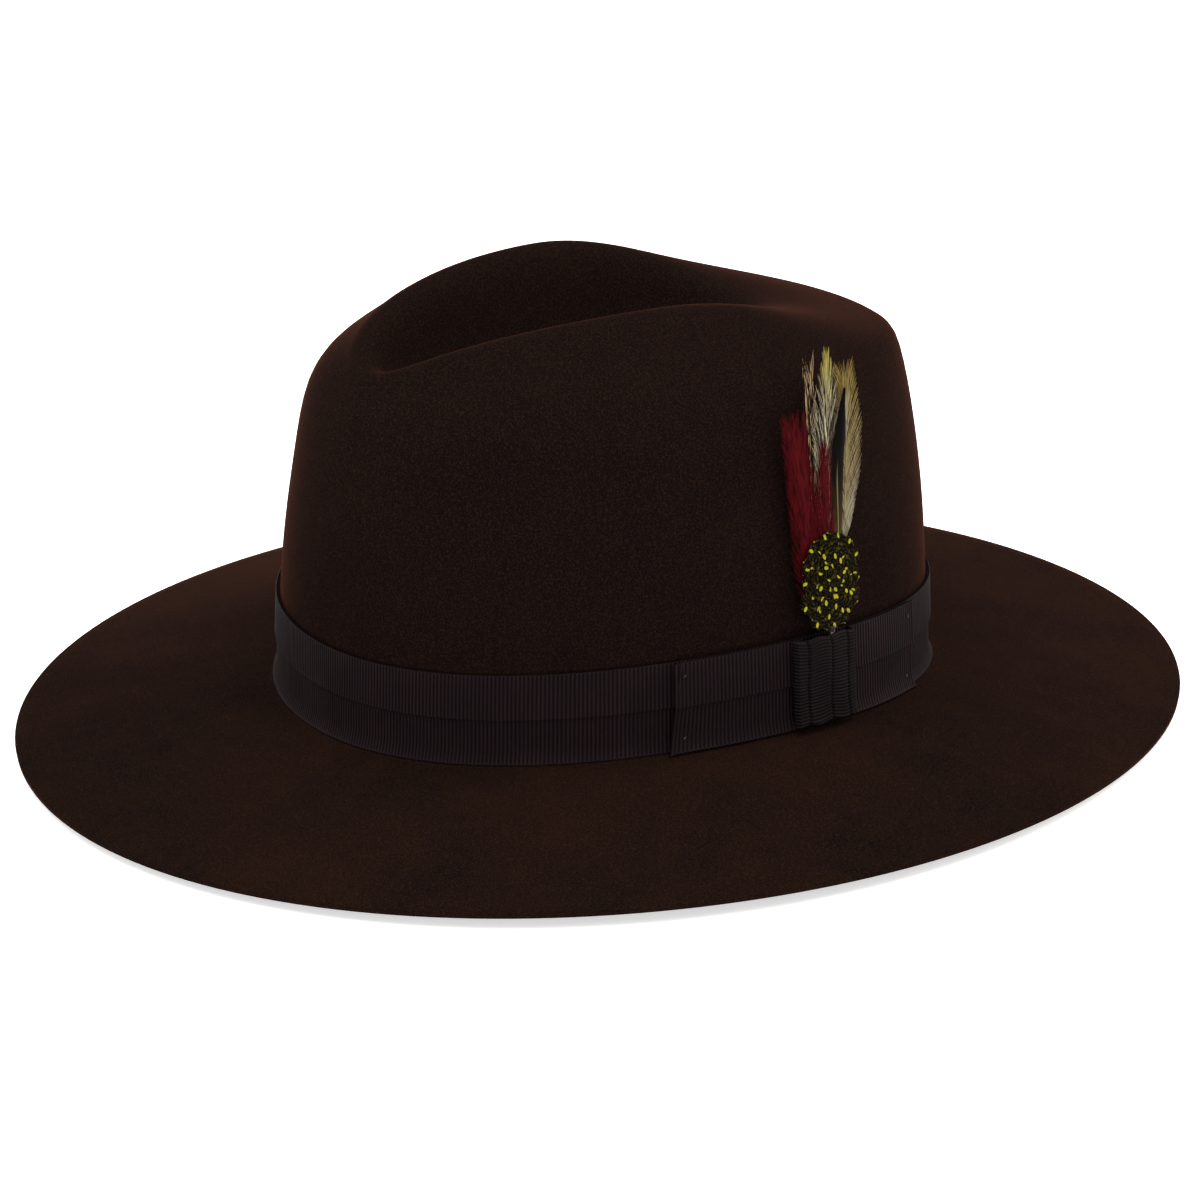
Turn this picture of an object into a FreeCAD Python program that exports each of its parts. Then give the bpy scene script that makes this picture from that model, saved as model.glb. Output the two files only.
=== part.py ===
"""Wide-brimmed felt fedora with a two-tier ribbon band, a side bow and a feather mount.

Frame: millimetres, +Z up, z = 0 is the table that the brim rests on. The front of the
hat faces -Y and the wearer's left, with the bow and the feathers, is +X. An angle round
the crown runs from the front towards the wearer's left.
"""
import FreeCAD, Part
import math
import os

Vector = FreeCAD.Vector

SIZES = [
    # crown and brim outline
    ("crown_half_length", 104.5, "centre to front of the crown at the break"),
    ("crown_half_width", 87.0, "centre to side of the crown at the break"),
    ("outline_power", 2.11, "superellipse power of the crown outline"),
    ("brim_width_front", 85.8, "brim from the break to its edge, front and back"),
    ("brim_width_side", 75.5, "brim from the break to its edge, sides"),
    ("edge_side_lift", 2.5, "how far the brim edge rises at the sides"),
    ("edge_front_lift", 2.5, "how far the brim edge rises in front"),
    ("break_height", 16.4, "mean height of the break above the table"),
    ("break_front_rise", 3.1, "the break is this much higher in front"),
    ("break_side_rise", 3.5, "and this much higher at the sides"),
    ("felt_thickness", 2.0, "blocked felt"),
    # crown body
    ("crown_height", 118.2, "mean height of the ridges above the break"),
    ("crown_front_rise", 1.9, "ridge height, front over back"),
    ("crown_side_rise", 2.7, "ridge height, sides over ends"),
    ("crown_pinch_rise", 0.4, "third harmonic of the ridge height"),
    ("lip_drop", 8.3, "how far the ridge dips at the front lip"),
    ("lip_spread", 0.57, "half angle of the lip, radians"),
    ("taper_front", 9.8, "lean of the wall at full height, front"),
    ("taper_back", 7.9, "lean of the wall at full height, back"),
    ("taper_side", 28.7, "lean of the wall at full height, sides"),
    ("taper_power", 2.63, "how late the wall starts to lean"),
    ("dish_depth", 5.5, "shallow finger dish under each ridge"),
    ("dish_angle", 60.0, "degrees from the front to the middle of a dish"),
    ("dish_half_angle", 28.6, "degrees, spread of a dish"),
    ("dish_level", 0.66, "share of the crown height at the middle of a dish"),
    ("dish_half_level", 0.21, "share of the crown height, spread of a dish"),
    # crown top
    ("crest_half_width", 34.8, "centre plane to a ridge"),
    ("crest_front", 82.2, "centre to the front lip"),
    ("crest_back", 51.8, "centre to the back end of the dent"),
    ("crest_egg", 0.09, "the ridges stand closer in front by this share"),
    ("shoulder_drop", 8.7, "height of the ridge over the shoulder"),
    ("ridge_round", 5.0, "half width of the rounded ridge"),
    ("dent_depth", 38.0, "ridge to the floor of the dent"),
    # ribbons
    ("ribbon_thickness", 0.6, "grosgrain"),
    ("ribbon_gap", 0.15, "air between the felt and the hatband"),
    ("band_bottom", 0.8, "hatband's lower edge above the break"),
    ("band_height", 27.8, "hatband, edge to edge"),
    ("pleat_height", 14.0, "upper tier of the hatband and of the bow"),
    ("pleat_bend", 6.4, "lower edge of the upper tier to where it bends with the wall"),
    ("leaf_thickness", 0.7, "a leaf of the bow"),
    ("bow_front_end", 72.7, "degrees, cut end of the front leaf"),
    ("bow_rear_end", 127.5, "degrees, cut end of the rear leaf"),
    ("knot_front", 95.4, "degrees, front side of the knot"),
    ("knot_rear", 109.8, "degrees, rear side of the knot"),
    ("knot_thickness", 1.3, "folded ribbon of the knot"),
    ("knot_proud", 0.7, "the knot passes the band's upper edge by this"),
    ("tack_width", 1.1, "thread knot of a tack stitch"),
    ("tack_inset", 4.0, "tack stitch to the ribbon's edge"),
    ("tack_end", 2.0, "degrees, tack stitch to the cut end of its leaf"),
    ("contact_gap", 0.03, "air between pieces that lie on each other"),
    # inside of the crown
    ("lining_gap", 0.8, "felt to lining"),
    ("lining_thickness", 0.5, "satin with its backing"),
    ("lining_start", 26.0, "lower edge of the lining above the break"),
    ("sweatband_gap", 1.6, "felt to sweatband"),
    ("sweatband_thickness", 1.0, "leather"),
    ("sweatband_bottom", 2.4, "lower edge above the break"),
    ("sweatband_height", 44.0, "leather, edge to edge"),
    ("reed_radius", 0.9, "cord in the sweatband's lower edge"),
    ("tape_bottom", 0.5, "lower edge of the woven tape above the break"),
    ("tape_height", 8.5, "woven tape that carries the sweatband"),
    ("tape_thickness", 0.8, "woven tape"),
    ("stitch_length", 2.6, "one stitch of the sweatband"),
    ("stitch_pitch", 5.0, "degrees from stitch to stitch"),
    ("stitch_rise", 2.2, "stitches above the sweatband's lower edge"),
    ("stitch_height", 0.5, "one stitch, bottom to top"),
    ("stitch_depth", 0.25, "how far a stitch stands out"),
    ("label_rise", 18.0, "label above the sweatband's lower edge"),
    ("label_height", 12.0, "blank size label"),
    ("label_thickness", 0.3, "blank size label"),
    ("label_half_angle", 10.0, "degrees, back seam to the label's end"),
    ("inner_bow_rise", 4.5, "inner bow above the sweatband's lower edge"),
    ("inner_bow_height", 6.0, "small ribbon bow at the sweatband's seam"),
    ("inner_bow_reach", 7.5, "degrees, back seam to the tip of a loop"),
    ("inner_bow_overlap", 0.9, "degrees, where a loop enters the knot"),
    ("inner_bow_thickness", 1.4, "a loop of the inner bow"),
    ("inner_knot_half", 1.8, "inner bow's knot, half its height"),
    ("inner_knot_angle", 1.2, "degrees, half its width"),
    ("inner_knot_thickness", 2.2, "inner bow's knot"),
    # feather mount
    ("stem_radius", 0.6, "wire of the feather mount"),
    ("stem_length", 22.0, "wire below the ribbon's upper edge"),
    ("stem_overlap", 0.5, "wire above the thread collar and gap under it"),
    ("slide_gap", 0.4, "air round the wire in the knot"),
    ("mount_lean", 0.19, "inward lean of the feathers, mm per mm"),
    ("binding_radius", 1.3, "thread collar on the wire"),
    ("binding_height", 2.0, "thread collar on the wire"),
    ("feather_layer", 0.4, "thickness given to each feather"),
    ("pad_thickness", 1.2, "overlapping feathers of the pad"),
    ("pad_width", 25.6, "guinea pad across"),
    ("pad_height", 28.6, "guinea pad, bottom to top"),
    ("card_width", 9.0, "backing card"),
    ("card_height", 24.0, "backing card"),
]

doc = FreeCAD.newDocument("fedora")
sheet = doc.addObject("Spreadsheet::Sheet", "sizes")
for row, (alias, value, note) in enumerate(SIZES, start=1):
    sheet.set("A%d" % row, alias)
    sheet.set("B%d" % row, str(value))
    sheet.set("C%d" % row, note)
    sheet.setAlias("B%d" % row, alias)
doc.recompute()


class Sizes:
    """The sheet's numbers by their aliases."""

    def __init__(self):
        for alias, _, _ in SIZES:
            setattr(self, alias, float(getattr(sheet, alias)))


v = Sizes()

COLUMNS = 48
BRIM_ROWS = ((1.0, 0.0), (0.75, 0.30), (0.5, 0.58), (0.25, 0.82), (0.08, 0.95))
WALL_LEVELS = (0.0, 0.07, 0.24, 0.45, 0.66)
BREAK_ROW = len(BRIM_ROWS)
SEAM_ROW = BREAK_ROW + len(WALL_LEVELS) - 1
SHOULDER_ROW = SEAM_ROW + 1


# ---------------------------------------------------------------- crown formula

def by_side(angle, front, back, side):
    """A value that changes smoothly from the front to the side to the back."""
    c = math.cos(angle)
    if c > 0:
        end = front
    else:
        end = back
    return c * c * end + (1 - c * c) * side


def break_z(angle):
    rise = v.break_front_rise * math.cos(angle) - v.break_side_rise * math.cos(2 * angle)
    return v.break_height + rise


def outline(angle):
    """The crown's outline at the break, a superellipse."""
    s = math.sin(angle)
    c = math.cos(angle)
    n = v.outline_power
    scale = (abs(s) ** n + abs(c) ** n) ** (-1 / n)
    return Vector(v.crown_half_width * scale * s, -v.crown_half_length * scale * c, 0)


def folded(angle):
    """Angle from the front, the same on both sides."""
    turn = angle % (2 * math.pi)
    return min(turn, 2 * math.pi - turn)


def ridge_height(angle):
    c = math.cos(angle)
    wave = v.crown_front_rise * c - v.crown_side_rise * math.cos(2 * angle)
    wave += v.crown_pinch_rise * math.cos(3 * angle)
    lip = v.lip_drop * math.exp(-(folded(angle) / v.lip_spread) ** 2)
    return v.crown_height + wave - lip


def wall(angle, level):
    """Control point of the crown wall at a share of the crown's height."""
    foot = outline(angle)
    taper = by_side(angle, v.taper_front, v.taper_back, v.taper_side)
    across = (math.degrees(folded(angle)) - v.dish_angle) / v.dish_half_angle
    up = (level - v.dish_level) / v.dish_half_level
    dish = v.dish_depth * math.exp(-across * across - up * up)
    inset = taper * level ** v.taper_power + dish
    point = foot * ((foot.Length - inset) / foot.Length)
    point.z = break_z(angle) + ridge_height(angle) * level
    return point


def ridge_point(angle, inset, z):
    """A point of the egg-shaped ridge line, or of one inside it."""
    s = math.sin(angle)
    c = math.cos(angle)
    if c > 0:
        reach = v.crest_front
    else:
        reach = v.crest_back
    return Vector((v.crest_half_width - inset) * s * (1 - v.crest_egg * c),
                  -(reach - inset) * c, z)


def felt_column(angle):
    """Control points of the felt's outer face from the brim edge to the dent's floor."""
    s = math.sin(angle)
    c = math.cos(angle)
    foot = outline(angle)
    edge = Vector((v.crown_half_width + v.brim_width_side) * s,
                  -(v.crown_half_length + v.brim_width_front) * c, 0)
    edge_z = v.felt_thickness + v.edge_side_lift * s * s + v.edge_front_lift * (1 + c) / 2
    column = []
    for out, rise in BRIM_ROWS:
        point = foot + (edge - foot) * out
        point.z = edge_z + (break_z(angle) - edge_z) * rise
        column.append(point)
    for level in WALL_LEVELS:
        column.append(wall(angle, level))
    shoulder = wall(angle, by_side(angle, 0.86, 0.92, 0.834))
    column.append(shoulder)
    ridge_z = break_z(angle) + ridge_height(angle)
    crest = ridge_point(angle, 0, ridge_z)
    out_share = by_side(angle, 0.72, 0.97, 0.463)
    fall = by_side(angle, 0.32, 0.18, 0.32)
    for share, drop in ((1.0, 1.0), (0.5, fall)):
        point = crest + (shoulder - crest) * (out_share * share)
        point.z = ridge_z - v.shoulder_drop * drop
        column.append(point)
    floor_z = v.break_height + v.crown_height - v.dent_depth
    floor = Vector(0, 0, floor_z)
    for share, lift in ((-1.0, 1.0), (0.8, 0.5)):
        column.append(ridge_point(angle, v.ridge_round * share, ridge_z + lift))
    inner = ridge_point(angle, v.ridge_round * 2.2, ridge_z - (ridge_z - floor_z) * 0.45)
    column.append(inner)
    for share, sink in ((0.5, 0.88), (0.28, 1.0), (0.12, 1.0), (0.0, 1.0)):
        point = floor + (inner - floor) * share
        point.z = ridge_z + (floor_z - ridge_z) * sink
        column.append(point)
    return column


FELT_COLUMNS = [felt_column(2 * math.pi * i / COLUMNS) for i in range(COLUMNS)]
FELT_NET = [[column[k] for column in FELT_COLUMNS] for k in range(len(FELT_COLUMNS[0]))]


# ---------------------------------------------------------------- spline surfaces

def weights(f):
    """Weights of four neighbouring control points of a uniform cubic spline."""
    return ((1 - f) ** 3 / 6, (3 * f ** 3 - 6 * f * f + 4) / 6,
            (-3 * f ** 3 + 3 * f * f + 3 * f + 1) / 6, f ** 3 / 6)


def net_row(net, k):
    """A row of the net, mirrored through the end row past either end."""
    last = len(net) - 1
    if k < 0:
        return [a * 2 - b for a, b in zip(net[0], net[1])]
    if k > last:
        return [a * 2 - b for a, b in zip(net[last], net[last - 1])]
    return net[k]


def on_net(net, row, column):
    """A point of the smooth surface that the net controls."""
    i = min(int(row), len(net) - 2)
    j = math.floor(column)
    row_weights = weights(row - i)
    column_weights = weights(column - j)
    point = Vector()
    for a in range(4):
        points = net_row(net, i + a - 1)
        for b in range(4):
            share = row_weights[a] * column_weights[b]
            point += points[(j + b - 1) % COLUMNS] * share
    return point


def net_offset(net, depth):
    """The net moved inwards by a depth, square to its own surface."""
    moved = []
    last = len(net) - 1
    for k, points in enumerate(net):
        before = net[max(k - 1, 0)]
        after = net[min(k + 1, last)]
        new_row = []
        for i, point in enumerate(points):
            along = after[i] - before[i]
            around = points[(i + 1) % COLUMNS] - points[i - 1]
            if k == last:
                normal = Vector(0, 0, 1)
            else:
                normal = around.cross(along)
                normal.normalize()
            new_row.append(point - normal * depth)
        moved.append(new_row)
    return moved


def net_surface(net):
    """A spline surface, closed round the hat, through the net's first and last rows."""
    poles = [net[0], [(a * 2 + b) / 3 for a, b in zip(net[0], net[1])]]
    poles += net[1:-1]
    poles += [[(a * 2 + b) / 3 for a, b in zip(net[-1], net[-2])], net[-1]]
    round_knots = list(range(COLUMNS + 1))
    up_knots = list(range(len(net)))
    up_counts = [4] + [1] * (len(net) - 2) + [4]
    columns = [[row[i] for row in poles] for i in range(COLUMNS)]
    surface = Part.BSplineSurface()
    surface.buildFromPolesMultsKnots(columns, [1] * (COLUMNS + 1), up_counts,
                                     round_knots, up_knots, True, False, 3, 3)
    return surface


def closed_solid(faces):
    """Faces sewn into one outward-facing solid."""
    shell = Part.makeShell(faces)
    shell.sewShape()
    solid = Part.makeSolid(shell)
    if solid.Volume < 0:
        solid.reverse()
    return solid


def cap_solid(net, outer_depth, inner_depth):
    """A domed sheet between two depths under a net that closes at its last row."""
    faces = []
    rims = []
    for depth in (outer_depth, inner_depth):
        surface = net_surface(net_offset(net, depth))
        faces.append(surface.toShape())
        rims.append(surface.vIso(0).toShape())
    faces.append(Part.makeRuledSurface(rims[0], rims[1]))
    return closed_solid(faces)


# ---------------------------------------------------------------- pieces on the wall

def wall_point(angle, height, offset):
    """A point beside the crown wall: height above the break, offset out from the felt."""
    column = angle / (2 * math.pi) * COLUMNS
    target = break_z(angle) + height
    low = BREAK_ROW - 0.6
    high = SHOULDER_ROW
    for _ in range(28):
        middle = (low + high) / 2
        if on_net(FELT_NET, middle, column).z < target:
            low = middle
        else:
            high = middle
    step = 0.05
    point = on_net(FELT_NET, low, column)
    ahead = on_net(FELT_NET, low, column + step)
    behind = on_net(FELT_NET, low, column - step)
    around = ahead - behind
    normal = Vector(around.y, -around.x, 0)
    normal.normalize()
    return point + normal * offset


def end_faces(corners):
    """Faces that close a thin section, from its first half of corners to its second."""
    faces = []
    for i in range(len(corners) // 2 - 1):
        near = Part.makeLine(corners[i], corners[i + 1])
        far = Part.makeLine(corners[-1 - i], corners[-2 - i])
        faces.append(Part.makeRuledSurface(near, far))
    return faces


def lofted(rails, closed):
    """A solid whose section's corners run along the rails."""
    curves = []
    for points in rails:
        if len(points) == 2:
            curves.append(Part.makeLine(points[0], points[1]))
        else:
            spline = Part.BSplineCurve()
            spline.interpolate(Points=points, PeriodicFlag=closed)
            curves.append(spline.toShape())
    faces = [Part.makeRuledSurface(curves[k - 1], curves[k]) for k in range(len(curves))]
    if not closed:
        for end in (0, -1):
            faces += end_faces([points[end] for points in rails])
    return closed_solid(faces)


def ring(section):
    """A hoop round the crown. The section is a loop of (height, offset) corners."""
    turns = [2 * math.pi * i / 72 for i in range(72)]
    rails = [[wall_point(turn, height, offset) for turn in turns]
             for height, offset in section]
    return lofted(rails, True)


def strip(start, end, section, steps=9):
    """A piece of hoop between two angles in degrees."""
    turns = [math.radians(start + (end - start) * i / (steps - 1)) for i in range(steps)]
    rails = [[wall_point(turn, height, offset) for turn in turns]
             for height, offset in section]
    return lofted(rails, False)


BAND_TOP = v.band_bottom + v.band_height
PLEAT_BOTTOM = BAND_TOP - v.pleat_height
BELOW_PLEAT = (2.5, 5, 9)
ABOVE_BAND = (37, 46, 54, 62)
BEND_HEIGHTS = BELOW_PLEAT + (PLEAT_BOTTOM, PLEAT_BOTTOM + v.pleat_bend, BAND_TOP) + ABOVE_BAND


def tall_section(bottom, top, inner, outer):
    """A thin upright section that bends with the wall, at heights shared by all pieces."""
    heights = [bottom]
    heights += [height for height in BEND_HEIGHTS if bottom + 1 < height < top - 1]
    heights.append(top)
    up = [(height, inner) for height in heights]
    down = [(height, outer) for height in reversed(heights)]
    return up + down


def add_piece(name, shape):
    piece = doc.addObject("Part::Feature", name)
    piece.Label = name
    piece.Shape = shape
    piece.Placement = FreeCAD.Placement()
    return piece


# ---------------------------------------------------------------- felt and ribbons

BAND_OUT = v.ribbon_gap + v.ribbon_thickness
PLEAT_OUT = BAND_OUT + v.ribbon_thickness
LEAF_OUT = PLEAT_OUT + v.leaf_thickness
BOW_OUT = LEAF_OUT + v.ribbon_thickness
KNOT_MIDDLE = (v.knot_front + v.knot_rear) / 2


MOUNT_ANGLE = math.radians(KNOT_MIDDLE)
MOUNT_BASE = wall_point(MOUNT_ANGLE, BAND_TOP, 0)
MOUNT_OUT = (wall_point(MOUNT_ANGLE, BAND_TOP, 1) - MOUNT_BASE).normalize()


def wall_bulge():
    """How far the wall beside the wire stands out past the wall at the band's top."""
    bulge = 0
    for height in BEND_HEIGHTS:
        if BAND_TOP - v.stem_length - 1 < height < BAND_TOP:
            past = wall_point(MOUNT_ANGLE, height, 0) - MOUNT_BASE
            bulge = max(bulge, past.dot(MOUNT_OUT))
    return bulge


WIRE_OUT = BOW_OUT + wall_bulge() + v.slide_gap + v.stem_radius


def make_felt():
    add_piece("felt_body", cap_solid(FELT_NET, 0, v.felt_thickness))


def make_hatband():
    section = tall_section(v.band_bottom, BAND_TOP, v.ribbon_gap, BAND_OUT)
    add_piece("hatband", ring(section))
    section = tall_section(PLEAT_BOTTOM, BAND_TOP, BAND_OUT, PLEAT_OUT)
    add_piece("hatband_pleat", ring(section))


def make_bow_leaves():
    leaf = tall_section(v.band_bottom, BAND_TOP, PLEAT_OUT, LEAF_OUT)
    pleat = tall_section(PLEAT_BOTTOM, BAND_TOP, LEAF_OUT, BOW_OUT)
    add_piece("bow_front_leaf", strip(v.bow_front_end, KNOT_MIDDLE, leaf))
    add_piece("bow_front_pleat", strip(v.bow_front_end, KNOT_MIDDLE, pleat))
    add_piece("bow_rear_leaf", strip(KNOT_MIDDLE, v.bow_rear_end, leaf))
    add_piece("bow_rear_pleat", strip(KNOT_MIDDLE, v.bow_rear_end, pleat))


def make_knot():
    """The knot's wrap, hollow behind so that the feather wire slides in it."""
    base = BOW_OUT + v.contact_gap
    pocket = WIRE_OUT + v.slide_gap + v.stem_radius
    side = math.degrees(v.knot_thickness / v.crown_half_length)
    top = BAND_TOP + v.knot_proud
    outer = tall_section(v.band_bottom, top, base, pocket + v.knot_thickness)
    hollow = tall_section(v.band_bottom - 1, top + 1, base - 1, pocket)
    knot = strip(v.knot_front, v.knot_rear, outer)
    knot = knot.cut(strip(v.knot_front + side, v.knot_rear - side, hollow))
    add_piece("bow_knot", knot.Solids[0])


def make_tack_stitches():
    """Thread knots near the cut ends of the two leaves."""
    reach = math.degrees(v.tack_width / v.crown_half_length)
    low = v.band_bottom + v.tack_inset
    high = BAND_TOP - v.tack_inset
    half = v.tack_width / 2
    tacks = []
    for angle in (v.bow_front_end + v.tack_end, v.bow_rear_end - v.tack_end):
        for height, leaf in ((low, LEAF_OUT), (high, BOW_OUT)):
            base = leaf + v.contact_gap
            section = [(height - half, base), (height + half, base),
                       (height + half, base + half), (height - half, base + half)]
            tacks.append(strip(angle - reach / 2, angle + reach / 2, section, 2))
    add_piece("tack_stitches", Part.makeCompound(tacks))


# ---------------------------------------------------------------- inside of the crown

SWEAT_OUT = -(v.felt_thickness + v.sweatband_gap)
SWEAT_IN = SWEAT_OUT - v.sweatband_thickness
LINING_OUT = -(v.felt_thickness + v.lining_gap)
LINING_IN = LINING_OUT - v.lining_thickness


def make_sweatband():
    top = v.sweatband_bottom + v.sweatband_height
    section = tall_section(v.sweatband_bottom, top, SWEAT_IN, SWEAT_OUT)
    add_piece("sweatband", ring(section))
    reed_height = v.sweatband_bottom - v.reed_radius - 0.1
    reed = []
    for i in range(8):
        turn = 2 * math.pi * i / 8
        reed.append((reed_height + v.reed_radius * math.sin(turn),
                     SWEAT_IN + v.reed_radius * math.cos(turn)))
    add_piece("sweatband_reed", ring(reed))
    tape_in = SWEAT_OUT + 3 * v.contact_gap
    section = tall_section(v.tape_bottom, v.tape_bottom + v.tape_height,
                           tape_in, tape_in + v.tape_thickness)
    add_piece("reed_tape", ring(section))


def make_sweatband_stitches():
    reach = math.degrees(v.stitch_length / v.crown_half_length)
    low = v.sweatband_bottom + v.stitch_rise
    high = low + v.stitch_height
    face = SWEAT_IN - v.stitch_depth
    section = [(low, face), (high, face), (high, SWEAT_IN), (low, SWEAT_IN)]
    stitches = []
    for i in range(int(360 / v.stitch_pitch)):
        start = i * v.stitch_pitch
        stitches.append(strip(start, start + reach, section, 2))
    add_piece("sweatband_stitches", Part.makeCompound(stitches))


def make_inner_bow():
    """Two flat loops and a knot on the sweatband's back seam."""
    back = SWEAT_IN - v.contact_gap
    low = v.sweatband_bottom + v.inner_bow_rise
    high = low + v.inner_bow_height
    middle = (low + high) / 2
    knot_low = middle - v.inner_knot_half
    knot_high = middle + v.inner_knot_half
    face = back - v.inner_knot_thickness
    section = [(knot_low, face), (knot_high, face), (knot_high, back), (knot_low, back)]
    bow = strip(180 - v.inner_knot_angle, 180 + v.inner_knot_angle, section, 3)
    face = back - v.inner_bow_thickness
    loop = [(low, face), (high, face), (high, back), (low, back)]
    for side in (-1, 1):
        tip = 180 + side * v.inner_bow_reach
        base = 180 + side * v.inner_bow_overlap
        bow = bow.fuse(strip(min(tip, base), max(tip, base), loop, 4))
    add_piece("sweatband_bow", bow.removeSplitter())


def make_label():
    low = v.sweatband_bottom + v.label_rise
    back = SWEAT_IN - v.contact_gap
    section = tall_section(low, low + v.label_height, back - v.label_thickness, back)
    half = v.label_half_angle
    add_piece("size_label", strip(180 - half, 180 + half, section))


def make_lining():
    seam = wall_seam_height()
    section = tall_section(v.lining_start, seam, LINING_IN, LINING_OUT)
    add_piece("lining_side", ring(section))
    add_piece("lining_tip", cap_solid(FELT_NET[SEAM_ROW:], -LINING_OUT, -LINING_IN))


def wall_seam_height():
    """The lining's seam, just under the lowest point of the tip's edge."""
    levels = []
    for i in range(COLUMNS):
        levels.append(FELT_NET[SEAM_ROW][i].z - break_z(2 * math.pi * i / COLUMNS))
    return min(levels) - 0.5


# ---------------------------------------------------------------- feather mount

MOUNT_BACK = Vector(0, 0, 1).cross(MOUNT_OUT)
FEATHER_START = v.knot_proud + v.stem_overlap + v.binding_height + 0.1


def mount_point(side, height, out):
    """Side towards the back of the hat, height above the band, out from the wire's line."""
    lean = v.mount_lean * max(height, 0)
    return (MOUNT_BASE + MOUNT_BACK * side + MOUNT_OUT * (WIRE_OUT + out - lean)
            + Vector(0, 0, height))


def blade(spine, layer, thickness):
    """A flat feather. The spine lists (side, height, half width) from its quill to its tip."""
    rails = []
    for edge, out in ((-1, layer), (1, layer), (1, layer + thickness), (-1, layer + thickness)):
        rails.append([mount_point(side + edge * half, height, out)
                      for side, height, half in spine])
    return lofted(rails, False)


def layer_of(place):
    """Feathers lie one on another, from the card outwards."""
    return v.feather_layer * (place - 3)


def make_wire():
    base = MOUNT_BASE + MOUNT_OUT * WIRE_OUT
    stem = doc.addObject("Part::Cylinder", "mount_stem")
    stem.Label = "mount_stem"
    stem.setExpression("Radius", "sizes.stem_radius")
    stem.setExpression("Height", "sizes.stem_length + sizes.knot_proud"
                                 " + sizes.binding_height + sizes.stem_overlap")
    stem.Placement.Base = base - Vector(0, 0, v.stem_length)
    collar = doc.addObject("Part::Cylinder", "collar_outside")
    collar.setExpression("Radius", "sizes.binding_radius")
    collar.setExpression("Height", "sizes.binding_height")
    hole = doc.addObject("Part::Cylinder", "collar_hole")
    hole.setExpression("Radius", "sizes.stem_radius")
    hole.setExpression("Height", "sizes.binding_height")
    binding = doc.addObject("Part::Cut", "stem_binding")
    binding.Label = "stem_binding"
    binding.Base = collar
    binding.Tool = hole
    binding.Placement.Base = base + Vector(0, 0, v.knot_proud + v.stem_overlap)
    return stem, binding


def make_card():
    """A rounded card that every feather is glued to, tilted with them."""
    body = doc.addObject("PartDesign::Body", "mount_card")
    body.Label = "mount_card"
    sketch = body.newObject("Sketcher::SketchObject", "card_outline")
    plane = [f for f in body.Origin.OriginFeatures if f.Role == "XZ_Plane"][0]
    sketch.AttachmentSupport = [(plane, "")]
    sketch.MapMode = "FlatFace"
    half = v.card_width / 2
    corners = [Vector(-half, 0, 0), Vector(half, 0, 0),
               Vector(half, v.card_height, 0), Vector(-half, v.card_height, 0)]
    for i in range(4):
        sketch.addGeometry(Part.LineSegment(corners[i], corners[(i + 1) % 4]), False)
    pad = body.newObject("PartDesign::Pad", "card_pad")
    pad.Profile = sketch
    pad.setExpression("Length", "sizes.feather_layer")
    pad.Reversed = True
    doc.recompute()
    turn = FreeCAD.Rotation(MOUNT_BACK, Vector(0, 0, 1).cross(MOUNT_BACK), Vector(0, 0, 1), "XZY")
    tilt = FreeCAD.Rotation(MOUNT_BACK, -math.degrees(math.atan(v.mount_lean)))
    body.Placement = FreeCAD.Placement(mount_point(0, FEATHER_START, layer_of(0)), tilt * turn)
    return body


# Each feather lists (side, height, half width) from its quill to its tip.
BARRED = [(-0.5, 3.4, 0.5), (-1.5, 30, 1.2), (0.5, 55, 2.0), (1.6, 72, 3.2), (2.0, 82, 0.8)]
CREAM = [(1.5, 3.4, 0.5), (8.5, 26, 2.4), (13.8, 46, 5.0), (17.0, 62, 5.4), (18.6, 79, 0.8)]
GRIZZLY = [(0.0, 3.4, 0.5), (3.2, 30, 2.6), (5.6, 50, 3.8), (8.8, 66, 4.4), (11.6, 83, 0.8)]
RED = [(-2.0, 3.4, 1.0), (-5.0, 20, 4.5), (-3.4, 40, 7.0), (-5.0, 56, 4.8), (-5.0, 69.5, 1.6)]
BIOT = [(2.0, 3.4, 0.4), (6.8, 30, 1.7), (9.4, 50, 2.5), (13.6, 63, 1.8), (17.0, 74, 0.4)]
# The pad's (side, share of its height, share of its half width).
PAD = [(-0.5, 0, 0.5), (0.8, 0.3, 0.92), (1.8, 0.55, 1.0), (3.0, 0.82, 0.8), (4.4, 1, 0.3)]


def make_feathers():
    layer = v.feather_layer
    feathers = (("barred_fragment", BARRED), ("cream_hackle", CREAM),
                ("grizzly_hackle", GRIZZLY), ("red_hackle", RED), ("black_biot", BIOT))
    for place, (name, spine) in enumerate(feathers, start=1):
        add_piece(name, blade(spine, layer_of(place), layer))
    half = v.pad_width / 2
    spine = [(side, FEATHER_START + v.pad_height * share, half * width)
             for side, share, width in PAD]
    add_piece("guinea_pad", blade(spine, layer_of(len(feathers) + 1), v.pad_thickness))


# ---------------------------------------------------------------- build and write

make_felt()
make_hatband()
make_bow_leaves()
make_knot()
make_tack_stitches()
make_sweatband()
make_sweatband_stitches()
make_inner_bow()
make_label()
make_lining()
make_wire()
make_card()
make_feathers()
doc.recompute()

HELPERS = ("collar_outside", "collar_hole")
nodes = []
for item in doc.Objects:
    if "Invalid" in item.State or "Error" in item.State:
        raise RuntimeError("%s did not build: %s" % (item.Name, item.State))
    is_body = item.TypeId == "PartDesign::Body"
    is_part = item.TypeId.startswith("Part::") and item.Name not in HELPERS
    if is_body or is_part:
        nodes.append(item)

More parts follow.
